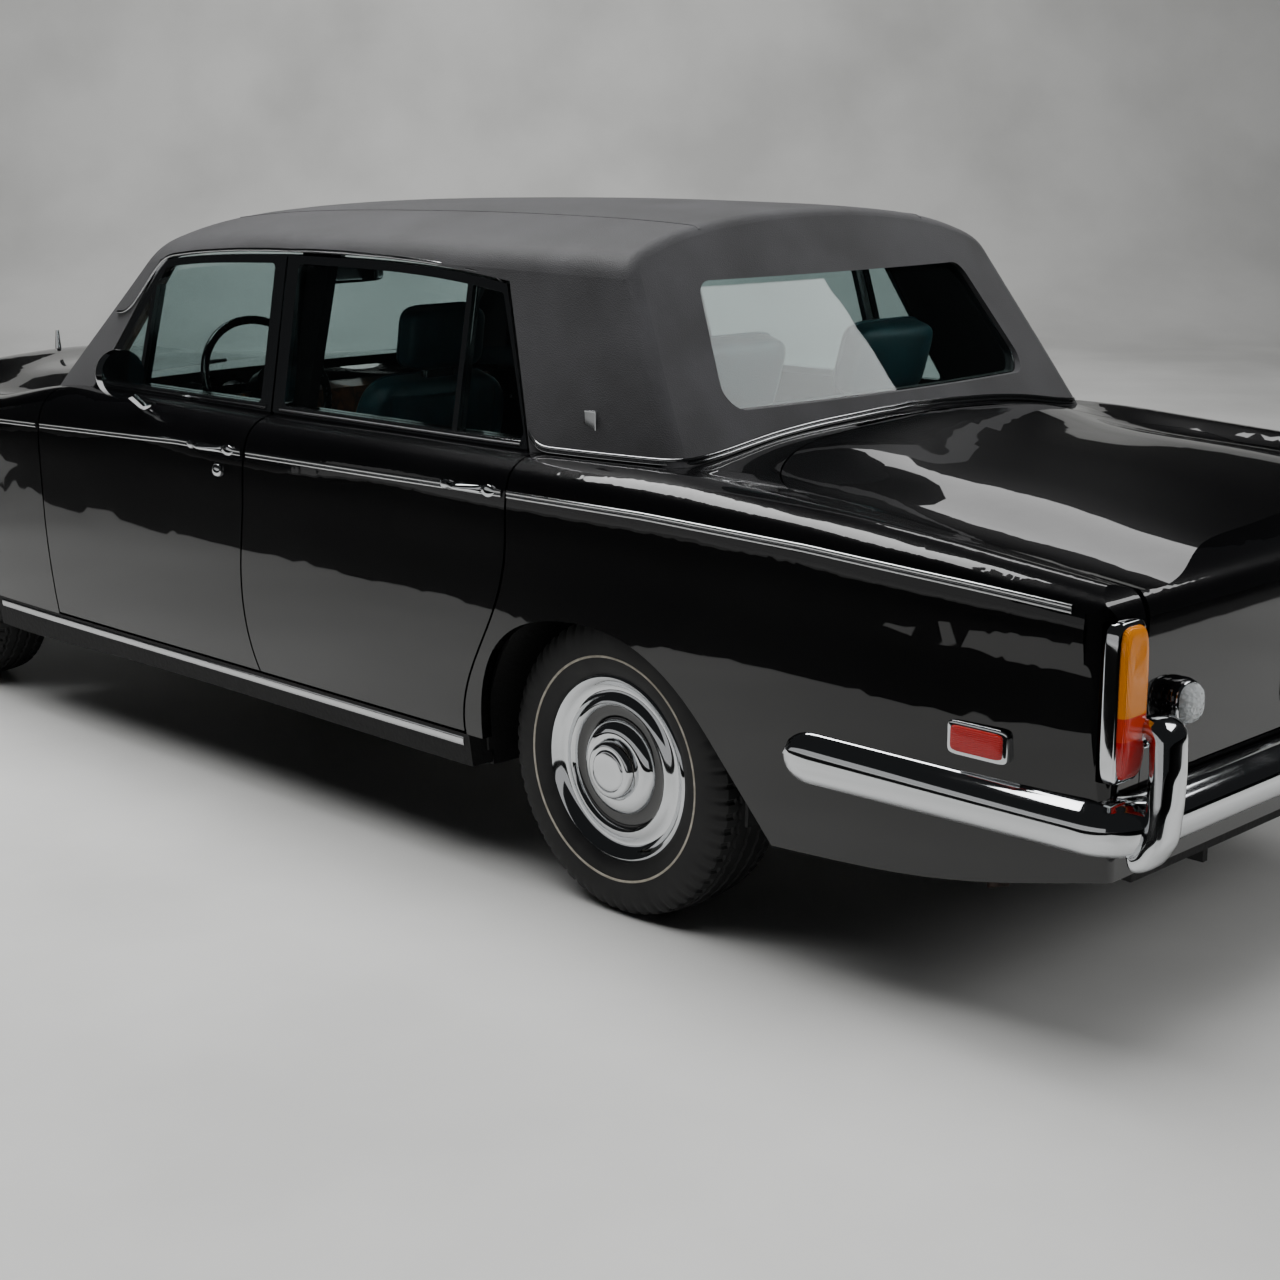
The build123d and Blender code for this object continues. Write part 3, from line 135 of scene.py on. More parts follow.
def grid_piece(name, points, finish, loop=False, ring=True, caps=True, sharp=50):
    """Mesh over points[i, j]: rows i joined in turn, j closed where ring, i closed where loop."""
    rows, count = points.shape[:2]
    i = np.arange(rows if loop else rows - 1)[:, None]
    j = np.arange(count if ring else count - 1)[None, :]
    k, m = (i + 1) % rows, (j + 1) % count
    quads = np.stack([i * count + j, i * count + m, k * count + m, k * count + j], -1).reshape(-1, 4)
    faces = quads.tolist()
    if caps and ring and not loop:
        faces += [list(range(count))[::-1], list(range((rows - 1) * count, rows * count))]
    mesh = bpy.data.meshes.new(name)
    mesh.from_pydata(points.reshape(-1, 3).tolist(), [], faces)
    work = bmesh.new()
    work.from_mesh(mesh)
    bmesh.ops.remove_doubles(work, verts=work.verts, dist=1e-6)
    bmesh.ops.dissolve_degenerate(work, edges=work.edges, dist=1e-7)
    bmesh.ops.recalc_face_normals(work, faces=work.faces)
    work.to_mesh(mesh)
    work.free()
    mesh.shade_smooth()
    mesh.set_sharp_from_angle(angle=math.radians(sharp))
    piece = bpy.data.objects.new(name, mesh)
    mesh.materials.append(finish)
    bpy.context.scene.collection.objects.link(piece)
    return piece


floor_paint = new_finish("studio_emulsion", "d6d6d4", 0.55)
scuffs = pattern(floor_paint, "ShaderNodeTexNoise", 1.4, Detail=6.0)
shaded(floor_paint, scuffs.outputs["Fac"], "c9c9c7", "dcdcda", start=0.35, end=0.62)

SWEEP_START, SWEEP_RADIUS, WALL_HEIGHT, STUDIO_HALF = 11.0, 3.0, 9.0, 26.0
turn = np.radians(np.linspace(0, 90, 25))
run = np.concatenate([[-26.0], SWEEP_START + SWEEP_RADIUS * np.sin(turn), [SWEEP_START + SWEEP_RADIUS]])
rise = np.concatenate([[0.0], SWEEP_RADIUS * (1 - np.cos(turn)), [WALL_HEIGHT]])
side = np.array([-STUDIO_HALF, STUDIO_HALF])
view_x, view_y = math.cos(EYE_YAW), math.sin(EYE_YAW)
sweep = np.stack(np.broadcast_arrays(run[:, None] * view_x - side[None, :] * view_y,
                                     run[:, None] * view_y + side[None, :] * view_x,
                                     rise[:, None]), -1)
floor = grid_piece("studio_floor", sweep, floor_paint, ring=False)


def soft_light(name, place, target, size, power, colour="ffffff"):
    """Rectangular area light at place that faces target."""
    lamp = bpy.data.lights.new(name, "AREA")
    lamp.shape, lamp.size, lamp.size_y = "RECTANGLE", size[0], size[1]
    lamp.energy, lamp.color = power, linear(colour)[:3]
    made = bpy.data.objects.new(name, lamp)
    made.location = place
    made.rotation_euler = (Vector(target) - Vector(place)).to_track_quat("-Z", "Y").to_euler()
    bpy.context.scene.collection.objects.link(made)
    return made


def unseen_by(thing, *rays):
    """Keeps a studio board or light out of some kinds of ray."""
    for ray in rays:
        setattr(thing, "visible_" + ray, False)


# The lit floor is a pool round the car. Past it the studio lies in shade, and so does the wall above
# head height: near-black boards of painted shade stand for both, and only reflections meet them.
# Near-black finish with a faint mottle: painted shade of the unlit studio, met only in reflections.
painted_shade_finish = new_finish("near_black_painted_shade_board", "040404", 0.95, Specular_IOR_Level=0.1)
shade_mottle = pattern(painted_shade_finish, "ShaderNodeTexNoise", 0.05, Detail=3.0)
shaded(painted_shade_finish, shade_mottle.outputs["Fac"], "030303", "060606")
POOL_LEFT, POOL_BACK, FAR, BOARD_Z = 2.65, REAR_AXLE_X - 3.1, 24.0, 0.004
DARK_WALL_LOW, DARK_WALL_HIGH, DARK_WALL_AWAY = 3.1, 8.8, 10.5
boards = {
    "left_board": [[(-FAR, POOL_LEFT, BOARD_Z), (FAR, POOL_LEFT, BOARD_Z)],
                   [(-FAR, POOL_LEFT + 3.6, BOARD_Z), (FAR, POOL_LEFT + 3.6, BOARD_Z)]],
    "back_board": [[(-FAR, -FAR, BOARD_Z), (POOL_BACK, -FAR, BOARD_Z)],
                   [(-FAR, POOL_LEFT, BOARD_Z), (POOL_BACK, POOL_LEFT, BOARD_Z)]],
    "wall_board": [[(DARK_WALL_AWAY * view_x - s * view_y, DARK_WALL_AWAY * view_y + s * view_x, z)
                    for s in (-16, 16)] for z in (DARK_WALL_LOW, DARK_WALL_HIGH)]}
for name, corners in boards.items():
    board = grid_piece(name, np.array(corners, float), painted_shade_finish, ring=False)
    unseen_by(board, "camera", "diffuse", "shadow", "transmission")

soft_light("overhead_bank", (1.9, 0.2, 5.6), (1.9, 0.2, 0.0), (3.4, 3.0), 230)
fill = soft_light("ceiling_fill", (-0.3, 1.6, 5.8), (-0.1, 0.8, 0.0), (8.0, 5.0), 470)
unseen_by(fill, "glossy", "camera")
soft_light("lid_bank", (2.9, -7.1, 5.9), (-2.1, 0.5, 0.95), (2.5, 1.1), 17)
soft_light("rear_right_bank", (-4.6, -4.0, 5.2), (-1.2, 0.0, 1.2), (3.0, 2.1), 75)
rear_fill = soft_light("rear_fill", (-6.5, -2.5, 3.4), (-2.6, 0.0, 0.0), (4.0, 2.0), 150)
unseen_by(rear_fill, "glossy", "camera")
band = soft_light("left_band", (1.0, 7.5, 1.0), (1.0, 0.0, 1.0), (16.0, 2.0), 46)
unseen_by(band, "camera", "diffuse", "transmission")
wash = soft_light("wall_bank", (6.0, -4.0, 6.5), (9.0, -9.0, 1.0), (9.0, 2.0), 430)
unseen_by(wash, "glossy")
studio_air = bpy.data.worlds.new("studio_air")
studio_air.use_nodes = True
air = studio_air.node_tree
air.nodes["Background"].inputs["Color"].default_value = linear("8c8f92")
air.nodes["Background"].inputs["Strength"].default_value = 0.06
beyond = add_node(air, "ShaderNodeBackground", {"Color": linear("b4b4b3"), "Strength": 0.75})
straight = add_node(air, "ShaderNodeLightPath")
both = add_node(air, "ShaderNodeMixShader", wires={0: straight.outputs["Is Camera Ray"],
                                                   1: air.nodes["Background"].outputs[0],
                                                   2: beyond.outputs[0]})
air.links.new(both.outputs[0], air.nodes["World Output"].inputs["Surface"])
bpy.context.scene.world = studio_air

# ---- body panels -----------------------------------------------------------------------------
# Pressed steel wings, lids and tail, sprayed with many coats of black cellulose and flatted:
# a very deep gloss with the faintest ripple, and a faint mottle of dust all over.
black_paint = new_finish("black_cellulose_lacquer", "060607", 0.3, Coat_Weight=1.0, Coat_Roughness=0.02,
                         Specular_IOR_Level=0.06)
ripple = pattern(black_paint, "ShaderNodeTexNoise", 0.12, Detail=1.0)
raised(black_paint, ripple.outputs["Fac"], 0.00006, "Coat Normal")
dust = pattern(black_paint, "ShaderNodeTexNoise", 0.5, Detail=8.0)
shaded(black_paint, dust.outputs["Fac"], "050506", "0b0b0c", start=0.4, end=0.75)

for node in ("front_wings", "rear_wings", "front_panel", "scuttle", "deck_panel", "tail_panel", "bonnet",
             "boot_lid"):
    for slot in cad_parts[node].material_slots:
        slot.material = black_paint

# ---- doors -----------------------------------------------------------------------------------
# Steel doors in the same paint, with window frames of polished stainless steel above the
# shoulder and stitched hide on the side that faces the seats.
FRAME_FOOT_Z = 1.0025
door_paint = black_paint.copy()
door_paint.name = "door_lacquer_steel_and_hide"
tree = door_paint.node_tree
lacquer = tree.nodes["Principled BSDF"]
steel_bare = add_node(tree, "ShaderNodeBsdfPrincipled", {"Base Color": linear("b9bbbd"), "Metallic": 1.0,
                                                         "Roughness": 0.14})
hide_bare = add_node(tree, "ShaderNodeBsdfPrincipled", {"Base Color": linear("10252b"), "Roughness": 0.5})
grain = pattern(door_paint, "ShaderNodeTexVoronoi", 0.004)
grain_bump = add_node(tree, "ShaderNodeBump", {"Strength": 0.4, "Distance": 0.0004},
                      {"Height": grain.outputs["Distance"]})
tree.links.new(grain_bump.outputs["Normal"], hide_bare.inputs["Normal"])
where = add_node(tree, "ShaderNodeTexCoord")
parts = add_node(tree, "ShaderNodeSeparateXYZ", wires={"Vector": where.outputs["Object"]})
side_of = add_node(tree, "ShaderNodeSeparateXYZ", wires={"Vector": where.outputs["Normal"]})
inward = add_node(tree, "ShaderNodeMath", {"operation": "MULTIPLY"},
                  {0: parts.outputs["Y"], 1: side_of.outputs["Y"]})
is_inside = add_node(tree, "ShaderNodeMath", {"operation": "LESS_THAN", 1: -0.35}, {0: inward.outputs[0]})
is_frame = add_node(tree, "ShaderNodeMath", {"operation": "GREATER_THAN", 1: FRAME_FOOT_Z},
                    {0: parts.outputs["Z"]})
lower = add_node(tree, "ShaderNodeMixShader", wires={0: is_inside.outputs[0], 1: lacquer.outputs[0],
                                                     2: hide_bare.outputs[0]})
whole = add_node(tree, "ShaderNodeMixShader", wires={0: is_frame.outputs[0], 1: lower.outputs[0],
                                                     2: steel_bare.outputs[0]})
tree.links.new(whole.outputs[0], tree.nodes["Material Output"].inputs["Surface"])
for node in ("front_door_left", "front_door_right", "rear_door_left", "rear_door_right"):
    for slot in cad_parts[node].material_slots:
        slot.material = door_paint

# ---- roof ------------------------------------------------------------------------------------
# Steel roof covered with black grained vinyl-coated cloth, glued on in three widths. Old
# vinyl is matt and a little dusty, paler where it has been rubbed.
vinyl = new_finish("grained_vinyl_cloth", "2b2b2d", 0.60, Sheen_Weight=0.2)
rubbed = pattern(vinyl, "ShaderNodeTexNoise", 0.22, Detail=7.0, Roughness=0.6)
shaded(vinyl, rubbed.outputs["Fac"], "222224", "343437", start=0.35, end=0.7)
leather_grain = pattern(vinyl, "ShaderNodeTexVoronoi", 0.0026)
raised(vinyl, leather_grain.outputs["Distance"], 0.0005)
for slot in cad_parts["roof"].material_slots:
    slot.material = vinyl

# ---- window glass ----------------------------------------------------------------------------
# Toughened sheet glass with a faint blue-green tint, drawn flat and polished.
tinted_glass = new_finish("blue_green_tinted_glass", "d0dfde", 0.0, Transmission_Weight=1.0, IOR=1.45)
for node in ("windscreen", "rear_window", "front_glass_left", "front_glass_right", "rear_glass_left",
             "rear_glass_right"):
    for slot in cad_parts[node].material_slots:
        slot.material = tinted_glass

# ---- floor and running gear ------------------------------------------------------------------
# The floor pan is sealed with black underseal, brushed on thickly; the axles and arms are
# forged steel under chassis black.
underseal = new_finish("black_bitumen_underseal", "0c0c0d", 0.75)
lumps = pattern(underseal, "ShaderNodeTexNoise", 0.012, Detail=3.0)
raised(underseal, lumps.outputs["Fac"], 0.002)
chassis_black = new_finish("chassis_black_enamel", "101011", 0.38)
orange_peel = pattern(chassis_black, "ShaderNodeTexNoise", 0.004, Detail=2.0)
raised(chassis_black, orange_peel.outputs["Fac"], 0.0004)
for node in ("floor_pan", "boot_floor", "engine_bay"):
    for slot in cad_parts[node].material_slots:
        slot.material = underseal
for node in ("front_suspension", "rear_axle", "engine", "knuckle_left", "knuckle_right"):
    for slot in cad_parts[node].material_slots:
        slot.material = chassis_black

# Exhaust of mild steel tube, dull and faintly rusted by heat.
warm_steel = new_finish("heat_dulled_mild_steel", "5d5652", 0.55, Metallic=0.8)
rust = pattern(warm_steel, "ShaderNodeTexNoise", 0.05, Detail=6.0)
shaded(warm_steel, rust.outputs["Fac"], "6f6a66", "4a3830", start=0.45, end=0.7)
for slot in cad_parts["exhaust"].material_slots:
    slot.material = warm_steel

# ---- bumpers, grille shell and mirrors -------------------------------------------------------
# Pressed steel under bright chromium plate, buffed to a mirror. Plating has very faint
# clouding from polishing.
chrome = new_finish("chromium_plate", "d2d4d6", 0.05, Metallic=1.0)
clouding = pattern(chrome, "ShaderNodeTexNoise", 0.09, Detail=5.0)
shaded(chrome, clouding.outputs["Fac"], 0.03, 0.09, "Roughness")
for node in ("front_bumper", "rear_bumper", "grille", "mirror_left", "mirror_right"):
    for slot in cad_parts[node].material_slots:
        slot.material = chrome
stainless = new_finish("polished_stainless_steel", "c3c4c5", 0.12, Metallic=1.0)
buffing = pattern(stainless, "ShaderNodeTexNoise", 0.0012, stretch=(0.04, 1, 1), Detail=2.0)
raised(stainless, buffing.outputs["Fac"], 0.00003)


# ---- waist and sill strips -------------------------------------------------------------------
# Rolled stainless strips clipped along each panel: a twin-bead strip along the waist and a
# flat one over the sill. Each is cut at the shut lines and moves with its own panel.
def surface_of(*nodes):
    """Search tree over the CAD meshes of some nodes."""
    corners, faces, start = [], [], 0
    for node in nodes:
        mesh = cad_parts[node].data
        place = np.zeros(len(mesh.vertices) * 3)
        mesh.vertices.foreach_get("co", place)
        corners.append(place.reshape(-1, 3))
        faces += [[v + start for v in face.vertices] for face in mesh.polygons]
        start += len(mesh.vertices)
    return BVHTree.FromPolygons(np.concatenate(corners).tolist(), faces)


def outer_side(surface, stations, heights, side):
    """Points where the car's side lies at given stations and heights, seen from outside."""
    found = []
    for x, z in zip(stations, heights):
        hit = surface.ray_cast(Vector((x, 1.3 * side, z)), Vector((0, -side, 0)))[0]
        found.append((x, hit.y if hit else math.nan, z))
    points = np.array(found)
    known = ~np.isnan(points[:, 1])
    points[:, 1] = np.interp(points[:, 0], *(points[known][np.argsort(points[known][:, 0])][:, k]
                                             for k in (0, 1)))
    return points


def along(path, out, up, profile):
    """Profile (out, up) carried along a path: point = path + out * p[0] + up * p[1]."""
    path, out, up = (np.asarray(a, float) for a in (path, out, up))
    out, up = np.broadcast_to(out, path.shape), np.broadcast_to(up, path.shape)
    profile = np.asarray(profile, float)
    return path[:, None] + out[:, None] * profile[None, :, :1] + up[:, None] * profile[None, :, 1:]


def dome(width, height, sink=0.003, beads=1, count=9):
    """Closed half-round profile (out, up); beads sets how many ridges lie side by side."""
    t = np.linspace(0, np.pi, count)
    ridges = []
    for k in range(beads):
        middle = (k + 0.5) / beads * width - width / 2
        ridges.append(np.stack([height * np.sin(t), middle - np.cos(t) * width / beads / 2], -1))
    top = np.concatenate(ridges)
    return np.concatenate([top, [[-sink, width / 2], [-sink, -width / 2]]])


BODY_OF_PANEL = {"front_wings": "body", "rear_wings": "body", "front_door_left": "front_left_door",
                 "front_door_right": "front_right_door", "rear_door_left": "rear_left_door",
                 "rear_door_right": "rear_right_door", "floor_pan": "body", "roof": "body"}


def side_strip(name, node, side, line, start, end, profile, finish, body=None):
    """Strip along one panel; line gives (station from the rear axle, height) knots."""
    xs = np.linspace(start, end, 40)
    knots = np.array(sorted(line))
    heights = np.interp(xs, knots[:, 0], knots[:, 1])
    path = outer_side(surface_of(node), xs + REAR_AXLE_X, heights, side)
    piece = grid_piece(name, along(path, (0, side, 0), (0, 0, 1), profile), finish)
    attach(piece, body or BODY_OF_PANEL[node])
    return piece


WAIST_LINE = [(3.62, 0.822), (2.471, 0.881), (2.261, 0.888), (1.55, 0.911), (1.238, 0.908), (0.26, 0.920),
              (-0.16, 0.922), (-0.598, 0.913), (-0.981, 0.895), (-1.191, 0.883)]
SILL_LINE = [(2.612, 0.319), (0.394, 0.319)]
twin_bead = dome(0.017, 0.0045, beads=2)
flat_bead = dome(0.024, 0.003)
for side, word in ((1, "left"), (-1, "right")):
    for node, start, end in (("front_wings", 3.60, 2.272), ("front_door_" + word, 2.248, 1.262),
                             ("rear_door_" + word, 1.238, 0.272), ("rear_wings", 0.252, -1.185)):
        side_strip("waist_strip_%s_%s" % (node.replace("_" + word, ""), word), node, side, WAIST_LINE,
                   start, end, twin_bead, stainless)
    side_strip("sill_strip_" + word, "floor_pan", side, SILL_LINE, 2.60, 0.45, flat_bead, stainless)

# ---- window rails ----------------------------------------------------------------------------
# A stainless rail runs along the foot of the side windows.
def rail(name, node, side, start, end, z, body):
    """Rail at the foot of a window frame, following the frame's outer face."""
    return side_strip(name, node, side, [(-3, z), (4, z)], start, end, dome(0.016, 0.004, beads=1), stainless,
                      body)


for side, word in ((1, "left"), (-1, "right")):
    rail("window_rail_front_" + word, "front_door_" + word, side, 1.285, 2.07, 1.012,
         "front_%s_door" % word)
    rail("window_rail_rear_" + word, "rear_door_" + word, side, 0.325, 1.225, 1.012, "rear_%s_door" % word)


# ---- tyres -----------------------------------------------------------------------------------
# Cross-ply tyres, 336 mm to the tread, vulcanised from carbon-black rubber: satin side walls
# with a thin cream line, and a zigzag-grooved tread with notched shoulders.
def turned(profile, centre, count, side=1):
    """Profile (radius, width) turned about the axle: x = r cos a, z = r sin a, y = width."""
    angle = np.linspace(0, 2 * np.pi, count, endpoint=False)[:, None]
    radius, width = profile[..., 0], profile[..., 1]
    grid = np.stack(np.broadcast_arrays(radius * np.cos(angle), side * width,
                                        radius * np.sin(angle)), -1)
    return grid + np.array(centre)


TYRE_STEPS, TREAD_BLOCKS = 480, 60
GROOVE_LINES, GROOVE_HALF, GROOVE_DEPTH, ZIGZAG = (-0.052, -0.018, 0.018, 0.052), 0.0032, 0.007, 0.0035
wall_profile = np.array([[0.2065, 0.086], [0.214, 0.0945], [0.232, 0.1005], [0.252, 0.1032], [0.275, 0.1038],
                         [0.298, 0.1012], [0.312, 0.0958], [0.3225, 0.0885]])
tread_width = np.linspace(0.083, -0.083, 61)
tread_profile = np.stack([0.3358 - 0.0072 * (np.abs(tread_width) / 0.083) ** 2.6, tread_width], -1)
bead_profile = np.array([[0.192, -0.070], [0.192, 0.070]])
tyre_profile = np.concatenate([wall_profile, tread_profile, wall_profile[::-1] * (1, -1), bead_profile])


def grooved(profile):
    """Tyre profile round the wheel, with zigzag grooves and shoulder notches pressed in."""
    angle = np.linspace(0, 2 * np.pi, TYRE_STEPS, endpoint=False)[:, None]
    radius = np.broadcast_to(profile[:, 0], (TYRE_STEPS, len(profile))).copy()
    width = np.broadcast_to(profile[:, 1], radius.shape)
    phase = angle * TREAD_BLOCKS / (2 * np.pi)
    sway = ZIGZAG * (np.abs((phase % 1) * 2 - 1) * 2 - 1)
    for line in GROOVE_LINES:
        radius -= GROOVE_DEPTH * (np.abs(width - line - sway) < GROOVE_HALF) * (radius > 0.32)
    notch = (np.abs(width) > 0.066) & (radius > 0.305) & (((phase * 1.0) % 1) < 0.34)
    radius -= 0.0045 * notch
    return np.stack([radius, width], -1)


tyre_rubber = new_finish("carbon_black_rubber", "151516", 0.68)
bloom = pattern(tyre_rubber, "ShaderNodeTexNoise", 0.05, Detail=6.0)
shaded(tyre_rubber, bloom.outputs["Fac"], "111112", "1d1d1d", start=0.35, end=0.7)
pores = pattern(tyre_rubber, "ShaderNodeTexNoise", 0.0015, Detail=2.0)
raised(tyre_rubber, pores.outputs["Fac"], 0.0002)
cream_rubber = new_finish("cream_rubber_line", "b9b1a2", 0.55)
cream_marks = pattern(cream_rubber, "ShaderNodeTexNoise", 0.02, Detail=4.0)
shaded(cream_rubber, cream_marks.outputs["Fac"], "a59d8e", "c6bfb1", start=0.35, end=0.65)
line_profile = np.array([[0.2478, 0.1025], [0.2484, 0.1040], [0.2505, 0.1043], [0.2528, 0.1040],
                         [0.2534, 0.1025]])

# ---- wheels ----------------------------------------------------------------------------------
# Pressed steel wheels behind deep chrome covers: a rolled outer ring, a ring painted black,
# and a domed middle with a raised cap left plain.
cover_profile = np.array([
    [0.0, 0.1180], [0.020, 0.1179], [0.040, 0.1175], [0.0440, 0.1166], [0.0460, 0.1146], [0.0490, 0.1160],
    [0.0580, 0.1148], [0.0625, 0.1110], [0.0650, 0.1000], [0.0680, 0.0946], [0.0720, 0.0958],
    [0.0880, 0.0930], [0.1010, 0.0862], [0.1050, 0.0800], [0.1065, 0.0752], [0.1090, 0.0742],
    [0.1340, 0.0742], [0.1368, 0.0758], [0.1390, 0.0825], [0.1440, 0.0862], [0.1520, 0.0852],
    [0.1600, 0.0790], [0.1700, 0.0734], [0.1800, 0.0748], [0.1880, 0.0822], [0.1960, 0.0904],
    [0.2030, 0.0936], [0.2080, 0.0918], [0.2108, 0.0874], [0.2095, 0.0856], [0.2000, 0.0850],
    [0.1895, 0.0760], [0.1885, 0.0500], [0.1760, 0.0300], [0.1760, -0.0200], [0.1885, -0.0500],
    [0.1895, -0.0700], [0.2045, -0.0762], [0.2045, -0.0840], [0.1860, -0.0840], [0.1700, -0.0300],
    [0.1640, 0.0550], [0.0600, 0.0550], [0.0600, -0.0200], [0.0305, -0.0200], [0.0305, 0.0505],
    [0.0, 0.0505]])
BLACK_RING = (0.1075, 0.1365)
ring_enamel = new_finish("gloss_black_wheel_enamel", "08080a", 0.12, Coat_Weight=0.6, Coat_Roughness=0.03)
ring_dust = pattern(ring_enamel, "ShaderNodeTexNoise", 0.02, Detail=5.0)
shaded(ring_enamel, ring_dust.outputs["Fac"], "070708", "121214", start=0.4, end=0.75)

for node, body, side in (("front_left", "front_left_wheel", 1), ("front_right", "front_right_wheel", -1),
                         ("rear_left", "rear_left_wheel", 1), ("rear_right", "rear_right_wheel", -1)):
    low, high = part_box("tyre_" + node)
    hub = tuple((low + high) / 2)
    tread = grid_piece("tyre_rubber_" + node, turned(grooved(tyre_profile), hub, TYRE_STEPS, side),
                       tyre_rubber, loop=True, sharp=35)
    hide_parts("tyre_" + node)
    stripe = grid_piece("cream_line_" + node, turned(line_profile, hub, 192, side), cream_rubber, loop=True)
    cover = grid_piece("wheel_cover_" + node, turned(cover_profile, hub, 192, side), chrome, loop=True,
                       ring=False, sharp=40)
    cover.data.materials.append(ring_enamel)
    middles = np.zeros(len(cover.data.polygons) * 3)
    cover.data.polygons.foreach_get("center", middles)
    offset = middles.reshape(-1, 3) - np.array(hub)
    reach = np.hypot(offset[:, 0], offset[:, 2])
    painted = (reach > BLACK_RING[0]) & (reach < BLACK_RING[1]) & (offset[:, 1] * side > 0.07)
    cover.data.polygons.foreach_set("material_index", painted.astype(np.int32))
    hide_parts("wheel_" + node)
    for piece in (tread, stripe, cover):
        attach(piece, body)


# ---- rear bumper -----------------------------------------------------------------------------
# One chromed steel blade that wraps both corners, with a soft crease along its upper third,
# and two hooked overriders bolted over it.
def rounded_path(corners, radii, steps=14):
    """Polyline in plan with its inner corners rounded by circular arcs of given radii."""
    corners = [np.array(c, float) for c in corners]
    points = [corners[0]]
    for before, here, after, radius in zip(corners, corners[1:], corners[2:], radii):
        a, b = (before - here) / np.linalg.norm(before - here), (after - here) / np.linalg.norm(after - here)
        half = np.arccos(np.clip(a @ b, -1, 1)) / 2
        reach = radius / np.tan(half)
        centre = here + (a + b) / np.linalg.norm(a + b) * radius / np.sin(half)
        start, end = here + a * reach - centre, here + b * reach - centre
        spread = np.arccos(np.clip(start @ end / radius ** 2, -1, 1))
        t = np.linspace(0, 1, steps)[:, None]
        arc = start * np.sin((1 - t) * spread) + end * np.sin(t * spread)
        points += list(centre + arc / np.sin(spread))
    return np.array(points + [corners[-1]])


def spaced(path, step):
    """Path with points about step apart along it."""
    path = np.asarray(path, float)
    way = np.concatenate([[0], np.cumsum(np.linalg.norm(np.diff(path, axis=0), axis=1))])
    stops = np.linspace(0, way[-1], max(int(way[-1] / step), 2))
    return np.stack([np.interp(stops, way, path[:, k]) for k in range(path.shape[1])], -1), stops


BLADE = np.array([[-0.004, -0.046], [0.006, -0.0455], [0.0150, -0.041], [0.0205, -0.030], [0.0225, -0.014],
                  [0.0230, 0.002], [0.0215, 0.016], [0.0175, 0.0265], [0.0135, 0.0305], [0.0105, 0.036],
                  [0.004, 0.0445], [-0.004, 0.046]])


BLADE[:, 1] *= 1.15
BLADE_DEPTH = 0.023


def blade(name, corners, radii, middle_z, grow, finish, body, tip=0.07):
    """Bumper blade: the profile carried along the plan path, tapered to a round tip at both ends."""
    plan, way = spaced(rounded_path(corners, radii), 0.012)
    heading = np.gradient(plan, axis=0)
    heading /= np.linalg.norm(heading, axis=1)[:, None]
    out = np.stack([heading[:, 1], -heading[:, 0], np.zeros(len(plan))], -1)
    out *= np.sign((out[:, :2] * (plan - plan.mean(0))).sum(1).mean())
    ends = np.minimum(way, way[-1] - way)
    swell = np.sqrt(np.clip(1 - (1 - np.minimum(ends / tip, 1)) ** 2, 0.0004, 1))
    path = np.concatenate([plan, np.full((len(plan), 1), middle_z)], 1)
    deep = grow(plan)[:, None, None]
    swell = swell[:, None, None]
    reach = ((BLADE[None, :, :1] - BLADE_DEPTH / 2) * swell - BLADE_DEPTH / 2) * deep
    rows = path[:, None] + out[:, None] * reach + np.array([0, 0, 1.0]) * BLADE[None, :, 1:] * swell
    piece = grid_piece(name, rows, finish, sharp=60)
    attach(piece, body)
    return piece


bar_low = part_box("rear_bumper")[0]
BAR_Z = bar_low.z + 0.062
REAR_BAR_X = bar_low.x + 0.004


def deeper_at_back(plan):
    """Blade depth factor: 1.05 at the tips, swelling to 2.2 across the back."""
    share = np.clip((REAR_AXLE_X - 0.60 - plan[:, 0]) / 0.55, 0, 1)
    return 1.05 + 1.15 * share


rear_blade = blade("rear_bumper_blade",
                   [(REAR_AXLE_X - 0.545, 0.906), (REAR_BAR_X, 0.900), (REAR_BAR_X, -0.900),
                    (REAR_AXLE_X - 0.545, -0.906)], (0.105, 0.105), BAR_Z, deeper_at_back, chrome, "body")
HOOK = [(-1.268, 0.636), (-1.278, 0.664), (-1.300, 0.676), (-1.322, 0.664), (-1.329, 0.600), (-1.331, 0.540),
        (-1.329, 0.480), (-1.310, 0.446), (-1.280, 0.436)]
HOOK_LEAN, HOOK_HALF, HOOK_THICK = 0.030, 0.042, 0.024


